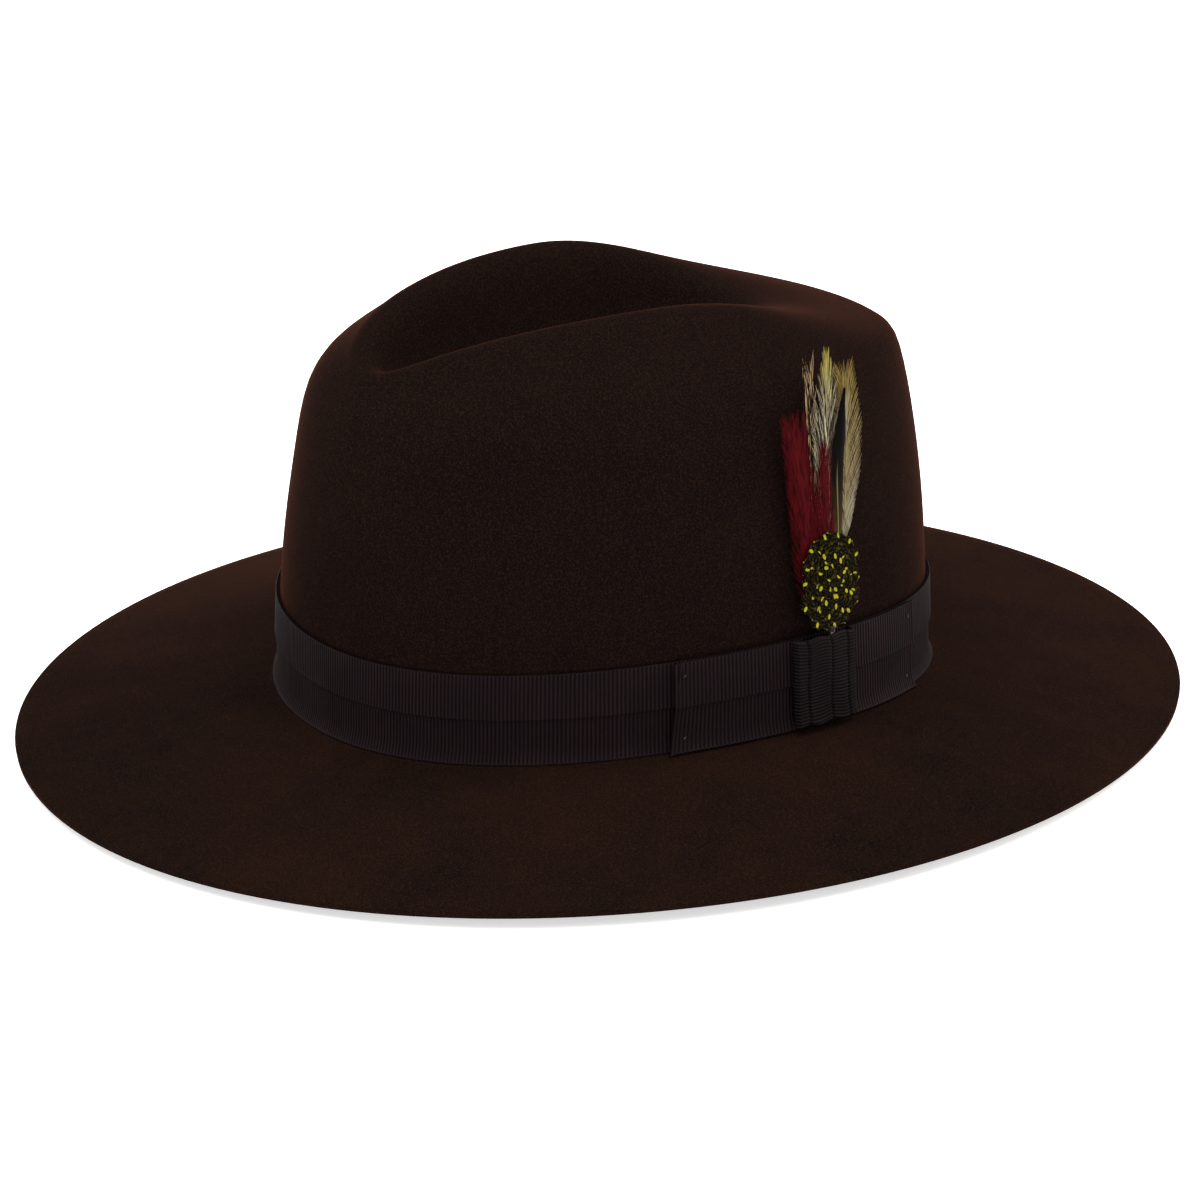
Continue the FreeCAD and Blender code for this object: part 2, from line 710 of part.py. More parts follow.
os.makedirs("parts", exist_ok=True)
for item in nodes:
    if item.Shape.isNull() or not item.Shape.isValid():
        raise RuntimeError("%s has no valid shape" % item.Label)
for item in nodes:
    item.Shape.exportStep("parts/%s.step" % item.Label)
    box = item.Shape.BoundBox
    print("%-20s volume %10.1f  x %7.1f %7.1f  y %7.1f %7.1f  z %6.1f %6.1f" % (
        item.Label, item.Shape.Volume, box.XMin, box.XMax, box.YMin, box.YMax,
        box.ZMin, box.ZMax))
print(len(nodes), "nodes")
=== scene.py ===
"""Looks of a wide-brimmed felt fedora: felt, grosgrain, leather, satin and feathers.

Sizes are in millimetres up to the point where a piece is laid out in metres. An angle
runs round the crown from the front towards the wearer's left, as in the frame.
"""
import math
import random

import bpy
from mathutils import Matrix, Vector


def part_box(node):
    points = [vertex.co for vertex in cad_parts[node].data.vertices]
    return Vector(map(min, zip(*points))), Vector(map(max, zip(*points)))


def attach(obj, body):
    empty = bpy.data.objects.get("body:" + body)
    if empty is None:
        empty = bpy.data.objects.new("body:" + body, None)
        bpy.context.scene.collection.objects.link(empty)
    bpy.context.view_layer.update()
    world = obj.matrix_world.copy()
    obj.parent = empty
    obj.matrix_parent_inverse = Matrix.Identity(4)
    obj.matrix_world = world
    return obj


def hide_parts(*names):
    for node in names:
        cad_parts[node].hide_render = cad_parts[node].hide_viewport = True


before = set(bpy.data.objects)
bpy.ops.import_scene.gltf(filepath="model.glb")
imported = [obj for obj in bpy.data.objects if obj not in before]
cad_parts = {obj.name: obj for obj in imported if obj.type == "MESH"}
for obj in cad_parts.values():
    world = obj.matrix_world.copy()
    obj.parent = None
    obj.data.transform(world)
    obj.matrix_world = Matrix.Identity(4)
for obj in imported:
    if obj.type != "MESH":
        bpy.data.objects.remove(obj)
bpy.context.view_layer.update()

MM = 0.001
TURN = 2 * math.pi

# ------------------------------------------------------------------ sizes

CROWN_LENGTH, CROWN_WIDTH = 104.5, 87.0
OUTLINE_POWER = 2.11
BRIM_FRONT, BRIM_SIDE = 85.8, 75.5
EDGE_SIDE, EDGE_FRONT = 2.5, 2.5
BREAK_HEIGHT, BREAK_FRONT, BREAK_SIDE = 16.4, 3.1, 3.5
FELT = 2.0
CROWN_HEIGHT, RISE_FRONT, RISE_SIDE, RISE_PINCH = 118.2, 1.9, 2.7, 0.4
LIP_DROP, LIP_SPREAD = 8.3, 0.57
TAPER_FRONT, TAPER_BACK, TAPER_SIDE, TAPER_POWER = 9.8, 7.9, 28.7, 2.63
DISH_DEPTH, DISH_ANGLE, DISH_SPREAD = 5.5, 60.0, 28.6
DISH_LEVEL, DISH_HALF = 0.66, 0.21
CREST_WIDTH, CREST_FRONT, CREST_BACK, CREST_EGG = 34.8, 82.2, 51.8, 0.09
SHOULDER_DROP, RIDGE_ROUND, DENT_DEPTH = 8.7, 5.0, 38.0

RIBBON, RIBBON_GAP = 0.6, 0.15
BAND_BOTTOM, BAND_HEIGHT, PLEAT_HEIGHT = 0.8, 27.8, 14.0
BAND_TOP = BAND_BOTTOM + BAND_HEIGHT
PLEAT_BOTTOM = BAND_TOP - PLEAT_HEIGHT
BAND_OUT = RIBBON_GAP + RIBBON
PLEAT_OUT = BAND_OUT + RIBBON
LEAF_OUT = PLEAT_OUT + 0.7
BOW_OUT = LEAF_OUT + RIBBON
RIB_PITCH = 1.2
BOW_FRONT, BOW_REAR = 72.7, 127.5
KNOT_FRONT, KNOT_REAR = 95.4, 109.8
KNOT_MIDDLE = (KNOT_FRONT + KNOT_REAR) / 2
WRAP_FRONT, WRAP_REAR = 94.6, 107.6
KNOT_CLOTH = 25.0

SWEAT_OUT, SWEAT_IN = -3.6, -4.6
SWEAT_BOTTOM, SWEAT_HEIGHT = 2.4, 44.0
LINING_OUT, LINING_BOTTOM = -2.8, 26.0
STITCH_PITCH, STITCH_LENGTH, STITCH_RISE = 4.0, 2.6, 3.4
LABEL_RISE, LABEL_HEIGHT, LABEL_START, LABEL_END = 18, 12, 170, 190
LOOP_REACH, BACK_SEAM = 6.4, math.radians(180)
LEAN = 0.19

COLUMNS = 48
BRIM_ROWS = ((1.0, 0.0), (0.75, 0.30), (0.5, 0.58), (0.25, 0.82), (0.08, 0.95))
WALL_LEVELS = (0.0, 0.07, 0.24, 0.45, 0.66)
BREAK_ROW = len(BRIM_ROWS)
SEAM_ROW = BREAK_ROW + len(WALL_LEVELS) - 1


# ------------------------------------------------------------------ crown formula

def by_side(angle, front, back, side):
    """A value that changes smoothly from the front to the side to the back."""
    c = math.cos(angle)
    end = front if c > 0 else back
    return c * c * end + (1 - c * c) * side


def break_z(angle):
    return BREAK_HEIGHT + BREAK_FRONT * math.cos(angle) - BREAK_SIDE * math.cos(2 * angle)


def outline(angle):
    s, c = math.sin(angle), math.cos(angle)
    scale = (abs(s) ** OUTLINE_POWER + abs(c) ** OUTLINE_POWER) ** (-1 / OUTLINE_POWER)
    return Vector((CROWN_WIDTH * scale * s, -CROWN_LENGTH * scale * c, 0))


def folded(angle):
    turn = angle % TURN
    return min(turn, TURN - turn)


def ridge_height(angle):
    c = math.cos(angle)
    wave = RISE_FRONT * c - RISE_SIDE * math.cos(2 * angle) + RISE_PINCH * math.cos(3 * angle)
    return CROWN_HEIGHT + wave - LIP_DROP * math.exp(-(folded(angle) / LIP_SPREAD) ** 2)


def wall(angle, level):
    foot = outline(angle)
    across = (math.degrees(folded(angle)) - DISH_ANGLE) / DISH_SPREAD
    up = (level - DISH_LEVEL) / DISH_HALF
    inset = by_side(angle, TAPER_FRONT, TAPER_BACK, TAPER_SIDE) * level ** TAPER_POWER
    inset += DISH_DEPTH * math.exp(-across * across - up * up)
    point = foot * ((foot.length - inset) / foot.length)
    point.z = break_z(angle) + ridge_height(angle) * level
    return point


def ridge_point(angle, inset, z):
    s, c = math.sin(angle), math.cos(angle)
    reach = CREST_FRONT if c > 0 else CREST_BACK
    return Vector(((CREST_WIDTH - inset) * s * (1 - CREST_EGG * c), -(reach - inset) * c, z))


def felt_column(angle):
    """Corners of the felt's cage from the brim edge up and over into the dent."""
    foot = outline(angle)
    s, c = math.sin(angle), math.cos(angle)
    edge = Vector(((CROWN_WIDTH + BRIM_SIDE) * s, -(CROWN_LENGTH + BRIM_FRONT) * c, 0))
    edge_z = FELT + EDGE_SIDE * s * s + EDGE_FRONT * (1 + c) / 2
    column = []
    for out, rise in BRIM_ROWS:
        point = foot.lerp(edge, out)
        point.z = edge_z + (break_z(angle) - edge_z) * rise
        column.append(point)
    column += [wall(angle, level) for level in WALL_LEVELS]
    shoulder = wall(angle, by_side(angle, 0.86, 0.92, 0.834))
    column.append(shoulder)
    ridge_z = break_z(angle) + ridge_height(angle)
    crest = ridge_point(angle, 0, ridge_z)
    for share, drop in ((1.0, 1.0), (0.5, by_side(angle, 0.32, 0.18, 0.32))):
        point = crest.lerp(shoulder, by_side(angle, 0.72, 0.97, 0.463) * share)
        point.z = ridge_z - SHOULDER_DROP * drop
        column.append(point)
    floor_z = BREAK_HEIGHT + CROWN_HEIGHT - DENT_DEPTH
    column.append(ridge_point(angle, -RIDGE_ROUND, ridge_z + 1.0))
    column.append(ridge_point(angle, RIDGE_ROUND * 0.8, ridge_z + 0.5))
    inner = ridge_point(angle, RIDGE_ROUND * 2.2, ridge_z - (ridge_z - floor_z) * 0.45)
    column.append(inner)
    for share, sink in ((0.5, 0.88), (0.28, 1.0), (0.12, 1.0), (0.0, 1.0)):
        column.append(Vector((inner.x * share, inner.y * share,
                              ridge_z + (floor_z - ridge_z) * sink)))
    return column


NET = [felt_column(TURN * i / COLUMNS) for i in range(COLUMNS)]


def weights(f):
    """Weights of four neighbouring cage corners on the smooth surface."""
    return ((1 - f) ** 3 / 6, (3 * f ** 3 - 6 * f * f + 4) / 6,
            (-3 * f ** 3 + 3 * f * f + 3 * f + 1) / 6, f ** 3 / 6)


def felt_point(row, column):
    """A point of the smooth felt, between the cage's rows and columns."""
    i, j = int(row), math.floor(column)
    up, round_it = weights(row - i), weights(column - j)
    point = Vector((0, 0, 0))
    for b in range(4):
        corners = NET[(j + b - 1) % COLUMNS]
        for a in range(4):
            point += corners[i + a - 1] * (up[a] * round_it[b])
    return point


class CrownWall:
    """The felt's outside, looked up by angle and by height above the break."""
    ANGLES, SAMPLES, LEVELS = 360, 70, 80

    def __init__(self):
        self.profiles = []
        first, last = BREAK_ROW - 0.6, SEAM_ROW + 0.9
        for a in range(self.ANGLES):
            base = break_z(TURN * a / self.ANGLES)
            column = COLUMNS * a / self.ANGLES
            samples = [felt_point(first + (last - first) * k / self.SAMPLES, column)
                       for k in range(self.SAMPLES + 1)]
            profile, k = [], 0
            for level in range(self.LEVELS):
                while samples[k + 1].z - base < level:
                    k += 1
                low, high = samples[k], samples[k + 1]
                share = (level + base - low.z) / (high.z - low.z)
                profile.append(low.lerp(high, max(share, 0)))
            self.profiles.append(profile)

    def at(self, angle, height):
        """angle in radians, height up to 78 mm."""
        place = (angle / TURN * self.ANGLES) % self.ANGLES
        a, level = int(place), min(int(max(height, 0)), self.LEVELS - 2)
        near, far = self.profiles[a], self.profiles[(a + 1) % self.ANGLES]
        share = place - a
        low = near[level].lerp(far[level], share)
        high = near[level + 1].lerp(far[level + 1], share)
        return low.lerp(high, height - level)

    def point(self, angle, height, out):
        """A point that stands out from the felt by out."""
        here = self.at(angle, height)
        around = self.at(angle + 0.006, height) - self.at(angle - 0.006, height)
        return here + Vector((around.y, -around.x, 0)).normalized() * out


CROWN = CrownWall()
STEM_LOW, STEM_HIGH = (Vector(corner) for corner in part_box("mount_stem"))
WIRE = (STEM_LOW + STEM_HIGH) / 2 / MM
GIRTH = sum((CROWN.at(TURN * (i + 1) / 360, 14) - CROWN.at(TURN * i / 360, 14)).length
            for i in range(360))


# ------------------------------------------------------------------ modelling tools

def rest_selection():
    if bpy.context.object and bpy.context.object.mode != "OBJECT":
        bpy.ops.object.mode_set(mode="OBJECT")
    bpy.ops.object.select_all(action="DESELECT")


def grid(name, across, along, place, uv=None, gaps=False):
    """A flat grid bent into shape. place(i, j) is in mm. With gaps, each second strip goes."""
    rest_selection()
    bpy.ops.mesh.primitive_grid_add(x_subdivisions=across, y_subdivisions=along)
    piece = bpy.context.object
    piece.name = piece.data.name = name
    row = across + 1
    places = [place(k % row, k // row) * MM for k in range(len(piece.data.vertices))]
    for vertex, where in zip(piece.data.vertices, places):
        vertex.co = where
    if uv:
        layer = piece.data.uv_layers.active.data
        for loop in piece.data.loops:
            k = loop.vertex_index
            layer[loop.index].uv = uv(k % row, k // row)
    if gaps:
        for face in piece.data.polygons:
            face.select = (face.vertices[0] // row) % 2 == 1
        bpy.ops.object.mode_set(mode="EDIT")
        bpy.ops.mesh.select_mode(type="FACE")
        bpy.ops.mesh.delete(type="FACE")
        bpy.ops.object.mode_set(mode="OBJECT")
    return piece


def active(piece):
    rest_selection()
    piece.select_set(True)
    bpy.context.view_layer.objects.active = piece


def modify(piece, kind, **settings):
    """Adds a modifier with its settings and applies it."""
    active(piece)
    modifier = piece.modifiers.new(kind.title(), kind)
    for key, value in settings.items():
        setattr(modifier, key, value)
    bpy.ops.object.modifier_apply(modifier=modifier.name)


def weld(piece, distance=0.02):
    """Merges the seam of a grid that was bent into a hoop or closed at a pole."""
    active(piece)
    bpy.ops.object.mode_set(mode="EDIT")
    bpy.ops.mesh.select_all(action="SELECT")
    bpy.ops.mesh.remove_doubles(threshold=distance * MM)
    bpy.ops.mesh.normals_make_consistent(inside=False)
    bpy.ops.object.mode_set(mode="OBJECT")


def thicken(piece, thickness, offset=-1.0):
    modify(piece, "SOLIDIFY", thickness=thickness * MM, offset=offset)


def shade(piece, degrees=40):
    active(piece)
    bpy.ops.object.shade_smooth_by_angle(angle=math.radians(degrees))


def join(pieces, name):
    rest_selection()
    for piece in pieces:
        piece.select_set(True)
    bpy.context.view_layer.objects.active = pieces[0]
    bpy.ops.object.join()
    pieces[0].name = pieces[0].data.name = name
    return pieces[0]


# ------------------------------------------------------------------ shader tools

class Wire:
    """A shader socket whose arithmetic adds Math nodes."""

    def __init__(self, paint, socket):
        self.paint = paint
        self.socket = socket

    def math(self, operation, *values):
        return self.paint.add("ShaderNodeMath", {"operation": operation},
                              dict(enumerate(values)))

    def __add__(self, other):
        return self.math("ADD", self, other)

    def __sub__(self, other):
        return self.math("SUBTRACT", self, other)

    def __rsub__(self, other):
        return self.math("SUBTRACT", other, self)

    def __mul__(self, other):
        return self.math("MULTIPLY", self, other)

    def __truediv__(self, other):
        return self.math("DIVIDE", self, other)

    __radd__ = __add__
    __rmul__ = __mul__

    def wave(self, period):
        """0 to 1 and back, once in each period, 0 at its start."""
        return 0.5 - self.math("COSINE", self * (TURN / period)) * 0.5

    def size(self):
        return self.math("ABSOLUTE", self)

    def fraction(self):
        return self.math("FRACT", self)

    def whole(self):
        return self.math("FLOOR", self)

    def root(self):
        return self.math("SQRT", self)

    def ramp(self, low, high):
        """0 below low, 1 above high, smooth between."""
        return self.paint.add("ShaderNodeMapRange", {"interpolation_type": "SMOOTHSTEP"},
                              {"Value": self, "From Min": low, "From Max": high})


class Paint:
    """One material: its nodes, and the Principled shader that they feed."""

    def __init__(self, name, **constants):
        self.material = bpy.data.materials.new(name)
        self.material.use_nodes = True
        self.tree = self.material.node_tree
        self.shader = self.tree.nodes["Principled BSDF"]
        for key, value in constants.items():
            self.shader.inputs[key.replace("_", " ")].default_value = value

    def add(self, kind, settings, sockets, out=0):
        node = self.tree.nodes.new(kind)
        for key, value in settings.items():
            setattr(node, key, value)
        for key, value in sockets.items():
            self.feed(node.inputs[key], value)
        return Wire(self, node.outputs[out])

    def feed(self, socket, value):
        if isinstance(value, Wire):
            self.tree.links.new(value.socket, socket)
        else:
            socket.default_value = value

    def place(self):
        return self.add("ShaderNodeTexCoord", {}, {}, "Object")

    def uv(self):
        split = self.add("ShaderNodeSeparateXYZ", {},
                         {0: self.add("ShaderNodeTexCoord", {}, {}, "UV")})
        return split, Wire(self, split.socket.node.outputs[1])

    def noise(self, scale, detail=3.0, where=None, rough=0.55):
        return self.add("ShaderNodeTexNoise", {}, {
            "Vector": where or self.place(), "Scale": scale, "Detail": detail,
            "Roughness": rough})

    def stretch(self, x, y, z, where=None):
        """Coordinates multiplied per axis, for streaks."""
        return self.add("ShaderNodeMapping", {}, {
            "Vector": where or self.place(), "Scale": (x, y, z)})

    def mix(self, share, first, second):
        """Colours, blended by a share."""
        node = self.tree.nodes.new("ShaderNodeMix")
        node.data_type = "RGBA"
        self.feed(node.inputs[0], share)
        self.feed(node.inputs[6], first)
        self.feed(node.inputs[7], second)
        return Wire(self, node.outputs[2])

    def bump(self, height, distance, strength=1.0, under=None):
        sockets = {"Height": height, "Distance": distance * MM, "Strength": strength}
        if under:
            sockets["Normal"] = under
        return self.add("ShaderNodeBump", {}, sockets)

    def to(self, **inputs):
        for key, value in inputs.items():
            self.feed(self.shader.inputs[key.replace("_", " ")], value)
        return self.material


def rgb(red, green, blue):
    """A colour as it looks on screen, 0 to 255, turned into light."""
    def light(x):
        x = x / 255
        return x / 12.92 if x < 0.04045 else ((x + 0.055) / 1.055) ** 2.4
    return (light(red), light(green), light(blue), 1.0)


# ------------------------------------------------------------------ materials

def felt_finish():
    """Brushed fur felt: matt, mottled in broad patches, with a fine raised nap."""
    p = Paint("felt_finish", Roughness=0.95, Sheen_Weight=0.165, Sheen_Roughness=0.24,
              Sheen_Tint=rgb(176, 84, 24), Specular_IOR_Level=0.01)
    place = p.place()
    patches = p.noise(16.0, 4.0).ramp(0.32, 0.70)
    clouds = p.noise(70.0, 5.0, rough=0.65).ramp(0.3, 0.72)
    height = p.add("ShaderNodeSeparateXYZ", {}, {0: place}, 2)
    # Brim colours below 12 mm height and crown colours above 50 mm, blended between.
    brim_share = 1 - height.ramp(0.012, 0.05)
    nap = p.noise(1800.0, 2.0, rough=0.6)
    brim = p.mix(patches * 0.6 + clouds * 0.4, rgb(12, 8, 8), rgb(26, 15, 9.5))
    crown = p.mix(patches * 0.5 + clouds * 0.5, rgb(14, 9, 8.5), rgb(19, 12, 10))
    colour = p.mix(brim_share, crown, brim)
    colour = p.mix(nap.ramp(0.45, 0.72) * 0.55, colour, rgb(42, 25, 17))
    colour = p.mix((1 - nap.ramp(0.28, 0.50)) * 0.45, colour, rgb(8, 4, 4))
    fibres = p.noise(420.0, 6.0, rough=0.75)
    normal = p.bump(fibres, 0.25, 0.4, p.bump(nap, 0.14, 0.6))
    return p.to(Base_Color=colour, Normal=normal)


def ribbon_finish(name, tone_and_shade):
    """Grosgrain: ribs in the mesh, fine threads over each rib, and a little silk shine."""
    p = Paint(name, Roughness=0.6, Specular_IOR_Level=0.05)
    along, up = p.uv()
    threads = up.wave(0.26)
    worn = p.noise(60.0, 4.0).ramp(0.35, 0.75)
    # Painted shade darkens the grooves and a painted highlight lightens each rib's crown, over the ribs
    # that the mesh already has.
    rib_highlight_mask = along.wave(RIB_PITCH).ramp(0.1, 0.95)
    dark = p.mix(worn, rgb(6, 2, 4), rgb(9, 4, 6))
    # The rib-crown colour is scaled for each copy of the ribbon; the knot's copy is scaled down as
    # painted shade.
    light = p.mix(worn, rgb(30 * tone_and_shade, 18 * tone_and_shade, 21 * tone_and_shade), rgb(39 * tone_and_shade, 24 * tone_and_shade, 27 * tone_and_shade))
    colour = p.mix(rib_highlight_mask, dark, light)
    colour = p.mix(threads * 0.25, colour, rgb(20, 13, 15))
    fine = p.noise(2600.0, 2.0)
    normal = p.bump(threads * 0.5 + fine, 0.05, 0.6)
    return p.to(Base_Color=colour, Normal=normal)


def thread_finish():
    p = Paint("thread_finish", Roughness=0.5, Specular_IOR_Level=0.4)
    twist = p.noise(1800.0, 2.0, p.stretch(1, 1, 3))
    colour = p.mix(twist, rgb(14, 9, 10), rgb(48, 38, 38))
    return p.to(Base_Color=colour, Normal=p.bump(twist, 0.08))


def leather_finish():
    """Roan leather: pebbled grain, a satin surface and darker handling marks."""
    p = Paint("leather_finish", Specular_IOR_Level=0.45)
    grain = p.add("ShaderNodeTexVoronoi", {"feature": "DISTANCE_TO_EDGE"},
                  {"Vector": p.place(), "Scale": 1400.0})
    marks = p.noise(45.0, 5.0).ramp(0.3, 0.75)
    pebble = grain.ramp(0.0, 0.12)
    colour = p.mix(marks, rgb(62, 37, 25), rgb(80, 49, 32))
    colour = p.mix((1 - pebble) * 0.5, colour, rgb(36, 20, 13))
    return p.to(Base_Color=colour, Roughness=marks * 0.15 + 0.42,
                Normal=p.bump(pebble + p.noise(500.0, 3.0) * 0.5, 0.12, 0.7))


def satin_finish():
    p = Paint("satin_finish", Anisotropic=0.5, Specular_IOR_Level=0.6, Sheen_Weight=0.2)
    weave = p.noise(900.0, 3.0, p.stretch(1, 1, 8))
    # Broad darker and lighter patches are the painted shade and highlight of folds.
    fold_shading = p.noise(30.0, 3.0).ramp(0.3, 0.7)
    colour = p.mix(fold_shading, rgb(66, 42, 33), rgb(86, 57, 44))
    return p.to(Base_Color=colour, Roughness=weave * 0.12 + 0.28,
                Normal=p.bump(weave, 0.05, 0.5))


def tape_finish():
    p = Paint("tape_finish", Roughness=0.85, Sheen_Weight=0.2)
    weave = p.noise(1300.0, 2.0, p.stretch(1, 1, 4))
    colour = p.mix(weave, rgb(38, 26, 24), rgb(70, 50, 44))
    return p.to(Base_Color=colour, Normal=p.bump(weave, 0.15))


def plastic_finish():
    p = Paint("reed_finish", Specular_IOR_Level=0.45)
    scuffs = p.noise(350.0, 4.0)
    colour = p.mix(scuffs, rgb(52, 34, 25), rgb(72, 48, 36))
    return p.to(Base_Color=colour, Roughness=scuffs * 0.2 + 0.35,
                Normal=p.bump(scuffs, 0.04))


def paper_finish():
    p = Paint("label_finish", Roughness=0.8)
    fibres = p.noise(1100.0, 5.0)
    colour = p.mix(fibres, rgb(205, 196, 172), rgb(228, 221, 200))
    return p.to(Base_Color=colour, Normal=p.bump(fibres, 0.05))


def card_finish():
    p = Paint("card_finish", Roughness=0.9)
    fibres = p.noise(900.0, 5.0)
    colour = p.mix(fibres, rgb(26, 20, 18), rgb(48, 38, 32))
    return p.to(Base_Color=colour, Normal=p.bump(fibres, 0.06))


def wire_finish():
    p = Paint("wire_finish", Metallic=1.0)
    drawn = p.noise(700.0, 3.0, p.stretch(1, 1, 0.1))
    colour = p.mix(drawn, rgb(84, 77, 66), rgb(124, 115, 98))
    return p.to(Base_Color=colour, Roughness=drawn * 0.2 + 0.3)


def feather_finish(name, root, middle, tip, streak, streak_share=0.4, tip_start=0.55):
    """Barbs shaded from the quill to the tip, with streaks that run along the barbs."""
    p = Paint(name, Roughness=0.65, Specular_IOR_Level=0.03)
    across, along = p.uv()
    body = p.mix(along.ramp(0.1, 0.5), root, middle)
    body = p.mix(along.ramp(tip_start, 0.98), body, tip)
    streaks = p.noise(900.0, 2.0, p.stretch(1, 1, 0.12)).ramp(0.45, 0.62)
    return p, across, along, p.mix(streaks * streak_share, body, streak)


def red_finish():
    p, across, along, colour = feather_finish(
        "red_finish", rgb(54, 3, 6), rgb(66, 4, 8), rgb(70, 7, 11), rgb(26, 1, 3), 0.65)
    return p.to(Base_Color=colour)


def cream_finish():
    """White near the root, pale cream above, gold at the tip."""
    p, across, along, colour = feather_finish(
        "cream_finish", rgb(134, 126, 108), rgb(122, 108, 74), rgb(112, 92, 38),
        rgb(50, 38, 18), 0.5)
    return p.to(Base_Color=colour)


def grizzly_finish():
    """Cream-white with broken black streaks and a yellow point."""
    p, across, along, colour = feather_finish(
        "grizzly_finish", rgb(150, 142, 124), rgb(156, 148, 124), rgb(150, 138, 66),
        rgb(66, 52, 32), 0.5, 0.78)
    own = p.noise(1.0, 1.0, p.add("ShaderNodeCombineXYZ", {}, {0: along * 36, 1: across * 2.4}))
    streaks = own.ramp(0.47, 0.51) * (1 - along.ramp(0.84, 0.94))
    return p.to(Base_Color=p.mix(streaks * 0.92, colour, rgb(12, 9, 7)))


def barred_finish():
    """Brown-black barbs, some of them with a tan end."""
    p, across, along, colour = feather_finish(
        "barred_finish", rgb(14, 9, 7), rgb(20, 12, 9), rgb(26, 16, 12), rgb(8, 5, 4), 0.5)
    own = p.noise(1.0, 1.0, p.add("ShaderNodeCombineXYZ", {}, {0: along * 70, 1: across * 2}))
    end = (across - 0.5).size().ramp(0.08, 0.22)
    tan = own.ramp(0.50, 0.54) * end
    return p.to(Base_Color=p.mix(tan, colour, rgb(146, 124, 92)))


def biot_finish():
    """Black with an olive-brown root."""
    p, across, along, colour = feather_finish(
        "biot_finish", rgb(60, 48, 26), rgb(7, 5, 4), rgb(5, 4, 3), rgb(3, 3, 2), 0.4)
    shaft = 1 - (across - 0.42).size().ramp(0.02, 0.06)
    pale = shaft * (1 - along.ramp(0.40, 0.58))
    return p.to(Base_Color=p.mix(pale * 0.7, colour, rgb(120, 104, 66)))


def guinea_finish():
    """Near-black barbs with uneven rows of yellow-green ovals on both sides of each shaft."""
    p = Paint("guinea_finish", Roughness=0.6, Specular_IOR_Level=0.02)
    across, along = p.uv()
    across, along = across * 10, along * 10
    lane = across / 4.0 + 3.0
    row = along / 4.2 + lane.whole() * 0.5 + 0.1
    cell = p.add("ShaderNodeCombineXYZ", {}, {0: lane.whole(), 1: row.whole()})
    chance = p.add("ShaderNodeTexWhiteNoise", {"noise_dimensions": "2D"}, {"Vector": cell})
    dx = (lane.fraction() - 0.5) * 4.0 + (chance - 0.5) * 0.8
    dy = (row.fraction() - 0.5) * 4.2 + (chance * 7).fraction() - 0.5
    uneven = p.noise(700.0, 2.0) * 0.5
    spot = (dx * dx * 1.7 + dy * dy * 0.6).root() + uneven
    oval = 1 - spot.ramp(0.82, 1.0)
    lines = p.noise(1.0, 2.0, p.add("ShaderNodeCombineXYZ", {}, {0: along * 3.4, 1: across * 0.5}))
    ground = p.mix(lines.ramp(0.55, 0.63), rgb(3, 2, 2), rgb(62, 54, 10))
    yellow = p.mix(uneven * 2, rgb(120, 118, 14), rgb(168, 164, 40))
    return p.to(Base_Color=p.mix(oval, ground, yellow))


def floor_finish():
    # The white emission is a painted glow: it lights the hat from below and washes out the contact
    # shadow under the brim.
    p = Paint("floor_finish", Roughness=0.6, Emission_Color=(1, 1, 1, 1), Emission_Strength=0.6)
    paper = p.noise(6.0, 3.0)
    return p.to(Base_Color=p.mix(paper, (0.90, 0.90, 0.90, 1), (0.93, 0.93, 0.93, 1)))


# ------------------------------------------------------------------ felt

def make_felt():
    """Crown and brim from one cage, smoothed and given the felt's thickness."""
    rows = len(NET[0]) - 1
    felt = grid("felt_shell", COLUMNS, rows, lambda i, j: NET[i % COLUMNS][j])
    weld(felt)
    modify(felt, "SUBSURF", levels=2, render_levels=2)
    thicken(felt, FELT)
    modify(felt, "BEVEL", width=0.35 * MM, segments=2, limit_method="ANGLE",
           angle_limit=math.radians(60))
    shade(felt, 50)
    return felt


# ------------------------------------------------------------------ ribbons

def rib(distance):
    """Height of a grosgrain rib at a distance along the ribbon, 0 to 1."""
    return abs(math.sin(math.pi * distance / RIB_PITCH)) ** 0.7


def ribbon(name, start, end, low, high, base, closed=False, slant=None, edge_lift=None):
    """Ribbed ribbon on the crown between two angles in degrees, with picot edges."""
    first = math.radians(start)
    span = math.radians(end) - first
    length = GIRTH * span / TURN
    ribs = max(4, round(length / RIB_PITCH))
    across = ribs * 6
    levels = (0.0, 0.012, 0.03, 0.15, 0.35, 0.6, 0.82, 0.96, 0.985, 1.0)
    along = len(levels) - 1

    def place(i, j):
        share = i / across
        distance = share * ribs * RIB_PITCH
        level = levels[j]
        ridge = rib(distance)
        picot = 0.14 * math.cos(2 * math.pi * distance / RIB_PITCH)
        reach = {0: -picot, along: picot}.get(j, 0)
        angle = first + span * share
        if slant:
            angle += math.radians(slant(share, level))
        out = base + 0.22 * ridge - 0.04
        if j in (0, along):
            out -= 0.14
        if edge_lift:
            out += edge_lift(share, level)
        if low > BAND_BOTTOM + 1:
            out += 0.18 * math.exp(-level * 12)
        return CROWN.point(angle, low + (high - low) * level + reach, out)

    def uv(i, j):
        return (i / across * ribs * RIB_PITCH, (high - low) * levels[j])

    piece = grid(name, across, along, place, uv)
    if closed:
        weld(piece)
    thicken(piece, RIBBON * 0.75)
    shade(piece, 70)
    return piece


def make_hatband():
    band = ribbon("band_ribbon", 0, 360, BAND_BOTTOM, BAND_TOP, BAND_OUT - 0.1, closed=True)
    tier = ribbon("band_upper_tier", 0, 360, PLEAT_BOTTOM, BAND_TOP + 0.2, PLEAT_OUT - 0.1,
                  closed=True)
    return band, tier


